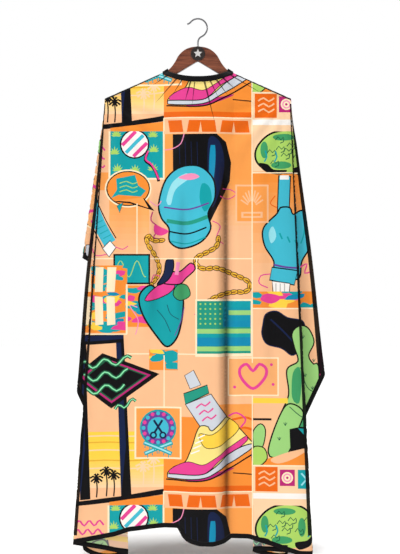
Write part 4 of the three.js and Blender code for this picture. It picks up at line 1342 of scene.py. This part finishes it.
def weaveGroup():
    # Fine crossed threads from flat coordinates in metres, as a height and a tone.
    group, start, end = newGroup(
        "clothWeave",
        [("Vector", "NodeSocketVector", None), ("Threads", "NodeSocketFloat", 900.0)],
        [("Height", "NodeSocketFloat"), ("Tone", "NodeSocketFloat")],
    )
    place = start.outputs["Vector"]
    scaled = addNode(group, "ShaderNodeVectorMath", {"operation": "SCALE"}, i0=place).outputs[0]
    group.links.new(start.outputs["Threads"], scaled.node.inputs["Scale"])
    parts = addNode(group, "ShaderNodeSeparateXYZ", i0=scaled)
    warp = mathNode(group, "SINE", mathNode(group, "MULTIPLY", parts.outputs[0], 3.1416))
    weft = mathNode(group, "SINE", mathNode(group, "MULTIPLY", parts.outputs[1], 3.1416))
    cross = mathNode(group, "MULTIPLY", warp, weft)
    slub = addNode(group, "ShaderNodeTexNoise", Vector=scaled, Scale=0.06, Detail=3.0).outputs[0]
    height = mathNode(
        group, "ADD", mathNode(group, "MULTIPLY", cross, 0.5), mathNode(group, "MULTIPLY", slub, 0.8),
    )
    group.links.new(height, end.inputs["Height"])
    group.links.new(slub, end.inputs["Tone"])
    return group


def wearGroup():
    # Broad uneven tone with a few finer marks, from the object's own place.
    settings = (("Scale", 8.0), ("Fine", 90.0), ("Amount", 0.1))
    group, start, end = newGroup(
        "unevenTone",
        [(label, "NodeSocketFloat", value) for label, value in settings],
        [("Tone", "NodeSocketFloat"), ("Marks", "NodeSocketFloat")],
    )
    place = addNode(group, "ShaderNodeTexCoord").outputs["Object"]
    broad = addNode(group, "ShaderNodeTexNoise", Vector=place, Detail=3.0)
    fine = addNode(group, "ShaderNodeTexNoise", Vector=place, Detail=5.0)
    group.links.new(start.outputs["Scale"], broad.inputs["Scale"])
    group.links.new(start.outputs["Fine"], fine.inputs["Scale"])
    centred = mathNode(group, "SUBTRACT", broad.outputs[0], 0.5)
    tone = mathNode(group, "MULTIPLY", centred, start.outputs["Amount"])
    group.links.new(mathNode(group, "ADD", tone, 1.0), end.inputs["Tone"])
    group.links.new(fine.outputs[0], end.inputs["Marks"])
    return group


weave = weaveGroup()
wear = wearGroup()


def newMaterial(name, **values):
    material = bpy.data.materials.new(name)
    material.use_nodes = True
    shader = material.node_tree.nodes["Principled BSDF"]
    for key, value in values.items():
        shader.inputs[key.replace("_", " ")].default_value = value
    return material, material.node_tree, shader


def placeGroup(tree, group, **values):
    node = tree.nodes.new("ShaderNodeGroup")
    node.node_tree = group
    for key, value in values.items():
        if hasattr(value, "is_output"):
            tree.links.new(value, node.inputs[key])
        else:
            node.inputs[key].default_value = value
    return node


def bumped(tree, shader, height, distance, strength=0.5):
    node = addNode(tree, "ShaderNodeBump", Height=height, Distance=distance, Strength=strength)
    tree.links.new(node.outputs[0], shader.inputs["Normal"])


def scaledTone(tree, color, tone):
    grey = addNode(tree, "ShaderNodeCombineColor", i0=tone, i1=tone, i2=tone).outputs[0]
    return mixColor(tree, 1.0, color, grey, "MULTIPLY")


def roughened(tree, shader, value, low, high):
    # Roughness between two limits, by a noise that mostly runs from 0.3 to 0.7.
    rough = addNode(tree, "ShaderNodeMapRange", i0=value, i1=0.3, i2=0.7, i3=low, i4=high).outputs[0]
    tree.links.new(rough, shader.inputs["Roughness"])


def printedCloth():
    material, tree, shader = newMaterial(
        "printedSatinWithPaintedShade", Sheen_Weight=0.02, Sheen_Roughness=0.4, Specular_IOR_Level=0.13,
    )
    # The base colour is the print with its painted fold shade, painted highlights and painted shadow lines,
    # from the cut's corners.
    shadedPrint = addNode(tree, "ShaderNodeAttribute", {"attribute_name": "printWithPaintedShade"}).outputs["Color"]
    place = addNode(tree, "ShaderNodeUVMap", {"uv_map": "cut"}).outputs[0]
    threads = placeGroup(tree, weave, Vector=place, Threads=1400.0)
    tone = placeGroup(tree, wear, Scale=14.0, Fine=260.0, Amount=0.10)
    tree.links.new(scaledTone(tree, shadedPrint, tone.outputs["Tone"]), shader.inputs["Base Color"])
    roughened(tree, shader, tone.outputs["Marks"], 0.40, 0.54)
    bumped(tree, shader, threads.outputs["Height"], 0.00012, 0.35)
    return material


def blackTape():
    material, tree, shader = newMaterial(
        "blackStretchTape", Sheen_Weight=0.02, Sheen_Roughness=0.35, Specular_IOR_Level=0.10,
    )
    place = addNode(tree, "ShaderNodeTexCoord").outputs["Object"]
    tone = placeGroup(tree, wear, Scale=30.0, Fine=700.0, Amount=0.5)
    threads = placeGroup(tree, weave, Vector=place, Threads=2200.0)
    color = scaledTone(tree, (0.0035, 0.0032, 0.0036, 1), tone.outputs["Tone"])
    tree.links.new(color, shader.inputs["Base Color"])
    roughened(tree, shader, tone.outputs["Marks"], 0.42, 0.62)
    bumped(tree, shader, threads.outputs["Height"], 0.00015, 0.5)
    return material


def stainedWood():
    material, tree, shader = newMaterial("stainedMahogany", Coat_Weight=0.35, Coat_Roughness=0.22)
    place = addNode(tree, "ShaderNodeTexCoord").outputs["Object"]
    stretched = addNode(tree, "ShaderNodeMapping", Vector=place, Scale=(3.2, 30.0, 46.0)).outputs[0]
    grainSettings = {"Scale": 3.0, "Detail": 8.0, "Roughness": 0.62, "Distortion": 0.6}
    grain = addNode(tree, "ShaderNodeTexNoise", Vector=stretched, **grainSettings).outputs[0]
    pores = addNode(tree, "ShaderNodeTexNoise", Vector=stretched, Scale=22.0, Detail=3.0).outputs[0]
    ramp = addNode(tree, "ShaderNodeValToRGB", Fac=grain)
    ramp.color_ramp.elements[0].position = 0.34
    ramp.color_ramp.elements[0].color = (0.095, 0.022, 0.010, 1)
    ramp.color_ramp.elements[1].position = 0.68
    ramp.color_ramp.elements[1].color = (0.30, 0.085, 0.036, 1)
    dark = addNode(tree, "ShaderNodeMapRange", i0=pores, i1=0.55, i2=0.75, i3=1.0, i4=0.72).outputs[0]
    # The board's middle is stained darker than its two faces.
    depth = addNode(tree, "ShaderNodeSeparateXYZ", i0=place).outputs[1]
    fromMiddle = mathNode(tree, "ABSOLUTE", depth)
    limits = {"i1": 0.0052, "i2": 0.0068, "i3": 0.55, "i4": 1.0}
    border = addNode(tree, "ShaderNodeMapRange", i0=fromMiddle, **limits).outputs[0]
    tone = mathNode(tree, "MULTIPLY", dark, border)
    tree.links.new(scaledTone(tree, ramp.outputs[0], tone), shader.inputs["Base Color"])
    roughened(tree, shader, grain, 0.30, 0.44)
    bumped(tree, shader, pores, 0.0002, 0.3)
    return material


def worn(name, color, low, high, tones, marks, **values):
    # A hard surface with uneven tone and fine marks: tones are scale, fine scale and amount.
    material, tree, shader = newMaterial(name, **values)
    tone = placeGroup(tree, wear, **dict(zip(("Scale", "Fine", "Amount"), tones)))
    tree.links.new(scaledTone(tree, (*color, 1), tone.outputs["Tone"]), shader.inputs["Base Color"])
    roughened(tree, shader, tone.outputs["Marks"], low, high)
    bumped(tree, shader, tone.outputs["Marks"], *marks)
    return material


def wornMetal(name, color, low, high, fine):
    return worn(name, color, low, high, (40.0, fine, 0.4), (0.00005, 0.2), Metallic=1.0)


def moulded(name, color, low, high):
    coat = {"Coat_Weight": 0.2, "Coat_Roughness": 0.2}
    return worn(name, color, low, high, (60.0, 500.0, 0.35), (0.00004, 0.25), **coat)


finishes = {
    "printed_cloth": printedCloth(),
    "binding": blackTape(),
    "hanger_wood": stainedWood(),
    "hook_steel": wornMetal("darkWire", (0.20, 0.20, 0.21), 0.24, 0.42, 600.0),
    "ferrule_metal": wornMetal("turnedFerrule", (0.34, 0.30, 0.26), 0.26, 0.44, 500.0),
    "snap_metal": wornMetal("gunmetalSnap", (0.10, 0.10, 0.11), 0.22, 0.4, 800.0),
    "badge": moulded("darkBadge", (0.020, 0.012, 0.010), 0.32, 0.45),
    "emblem": moulded("paleInlay", (0.62, 0.60, 0.58), 0.35, 0.5),
}
print("scene: finishes made")

slots = {part["node"]: part["material_slot"] for part in frame["record"]["subparts"]}
for name, node in nodes.items():
    node.data.materials.clear()
    node.data.materials.append(finishes[slots[name]])

cape = buildCape()
cape.data.materials.append(finishes["printed_cloth"])
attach(cape, "hanger_and_cape")
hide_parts("front_panel", "left_fall", "right_fall", "back_left_panel", "back_right_panel")

atHem = [i for i, (_, z) in enumerate(edgePath) if z > cut["back hem"] - 1e-6]
start, stop = atHem[0], atHem[-1]
hem = tapeAlong("hem_binding", edgePath[start : stop + 1])
right = tapeAlong("opening_binding_r", edgePath[: start + 1])
left = tapeAlong("opening_binding_l", edgePath[stop:])
for piece, replaced in (
    (hem, ["front_hem", "left_fall_hem", "right_fall_hem", "back_left_hem", "back_right_hem"]),
    (right, ["opening_binding_right"]),
    (left, ["opening_binding_left"]),
):
    piece.data.materials.append(finishes["binding"])
    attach(piece, "hanger_and_cape")
    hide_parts(*replaced)
print("scene: bindings sewn")


def softened(node, name, voxel, body, smoothing=6):
    # A sewn piece from the CAD solid's shape, with its corners rounded.
    piece = bpy.data.objects.new(name, nodes[node].data.copy())
    scene.collection.objects.link(piece)
    remesh = piece.modifiers.new("remesh", "REMESH")
    remesh.mode, remesh.voxel_size, remesh.use_smooth_shade = "VOXEL", voxel, True
    smooth = piece.modifiers.new("smooth", "SMOOTH")
    smooth.iterations, smooth.factor = smoothing, 0.5
    depsgraph = bpy.context.evaluated_depsgraph_get()
    made = bpy.data.meshes.new_from_object(piece.evaluated_get(depsgraph))
    piece.modifiers.clear()
    piece.data = made
    made.name = name
    for polygon in made.polygons:
        polygon.use_smooth = True
    made.materials.clear()
    made.materials.append(finishes["binding"])
    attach(piece, body)
    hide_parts(node)
    return piece


neckBand = softened("neck_band", "neck_band_sewn", 0.0009, "hanger_and_cape")
softened("underlap_tab", "underlap_sewn", 0.0005, "hanger_and_cape", 3)
softened("tab_root", "tab_root_sewn", 0.0005, "hanger_and_cape", 3)
softened("closure_tab", "closure_tab_sewn", 0.0005, "tab", 3)
print("scene: neck band and tabs sewn")

flatArea = 2 * cut["half width"] * (cut["back hem"] - cut["front hem"])
flatArea -= (4 - math.pi) * cut["corner radius"] ** 2 + 0.011  # the corners, and the neck hole and slit

studio = {"floor": -1.275, "key": 23.0, "fill": 3.0, "top": 9.0, "down": 3.0, "ambient": 0.24}


def areaLight(name, place, aim, size, power):
    light = bpy.data.lights.new(name, "AREA")
    light.shape, light.size, light.energy = "DISK", size, power
    lamp = bpy.data.objects.new(name, light)
    lamp.location = place
    lamp.rotation_euler = (Vector(aim) - Vector(place)).to_track_quat("-Z", "Y").to_euler()
    scene.collection.objects.link(lamp)


areaLight("keyLight", (-1.9, -1.9, 0.5), (0, 0, -0.6), 0.9, studio["key"])
areaLight("fillLight", (2.2, -1.6, -0.3), (0, 0, -0.7), 1.6, studio["fill"])
areaLight("topLight", (0.0, -0.2, 1.9), (0, 0, -0.6), 2.6, studio["top"])
areaLight("backLight", (0.6, 2.4, 0.3), (0, 0, -0.5), 1.8, studio["fill"] * 1.6)

sun = bpy.data.lights.new("downLight", "SUN")
sun.energy, sun.angle = studio["down"], math.radians(13)  # a soft-edged shadow
sunLamp = bpy.data.objects.new("downLight", sun)
sunLamp.rotation_euler = (math.radians(12), 0, 0)
scene.collection.objects.link(sunLamp)

floorCorners = [(x, y, studio["floor"]) for x, y in ((-9, -9), (9, -9), (9, 9), (-9, 9))]
floor = meshFrom("studio_floor", floorCorners, [(0, 1, 2, 3)])
paper, paperTree, paperShader = newMaterial("floorPaper", Roughness=0.9, Specular_IOR_Level=0.1)
paperTone = placeGroup(paperTree, wear, Scale=2.0, Fine=50.0, Amount=0.01)
paperColor = scaledTone(paperTree, (0.94, 0.94, 0.94, 1), paperTone.outputs["Tone"])
paperTree.links.new(paperColor, paperShader.inputs["Base Color"])
floor.data.materials.append(paper)

world = bpy.data.worlds.new("studioWorld")
world.use_nodes = True
ambient = world.node_tree.nodes["Background"]
ambient.inputs[0].default_value = (1, 1, 1, 1)
seen = world.node_tree.nodes.new("ShaderNodeLightPath").outputs["Is Camera Ray"]
strength = addNode(world.node_tree, "ShaderNodeMapRange", i0=seen, i3=studio["ambient"], i4=1.0).outputs[0]
world.node_tree.links.new(strength, ambient.inputs[1])
scene.world = world
scene.view_settings.view_transform = "Standard"

shot = {"distance": 3.0, "aim": (0.005, -0.609), "lens": 82.4, "sensor": 36.0}
lens = bpy.data.cameras.new("camera")
lens.sensor_fit, lens.sensor_height, lens.lens = "VERTICAL", shot["sensor"], shot["lens"]
camera = bpy.data.objects.new("camera", lens)
camera.location = (shot["aim"][0], -shot["distance"], shot["aim"][1])
camera.rotation_euler = (math.radians(90), 0, 0)
scene.collection.objects.link(camera)
scene.camera = camera

print("scene: done")
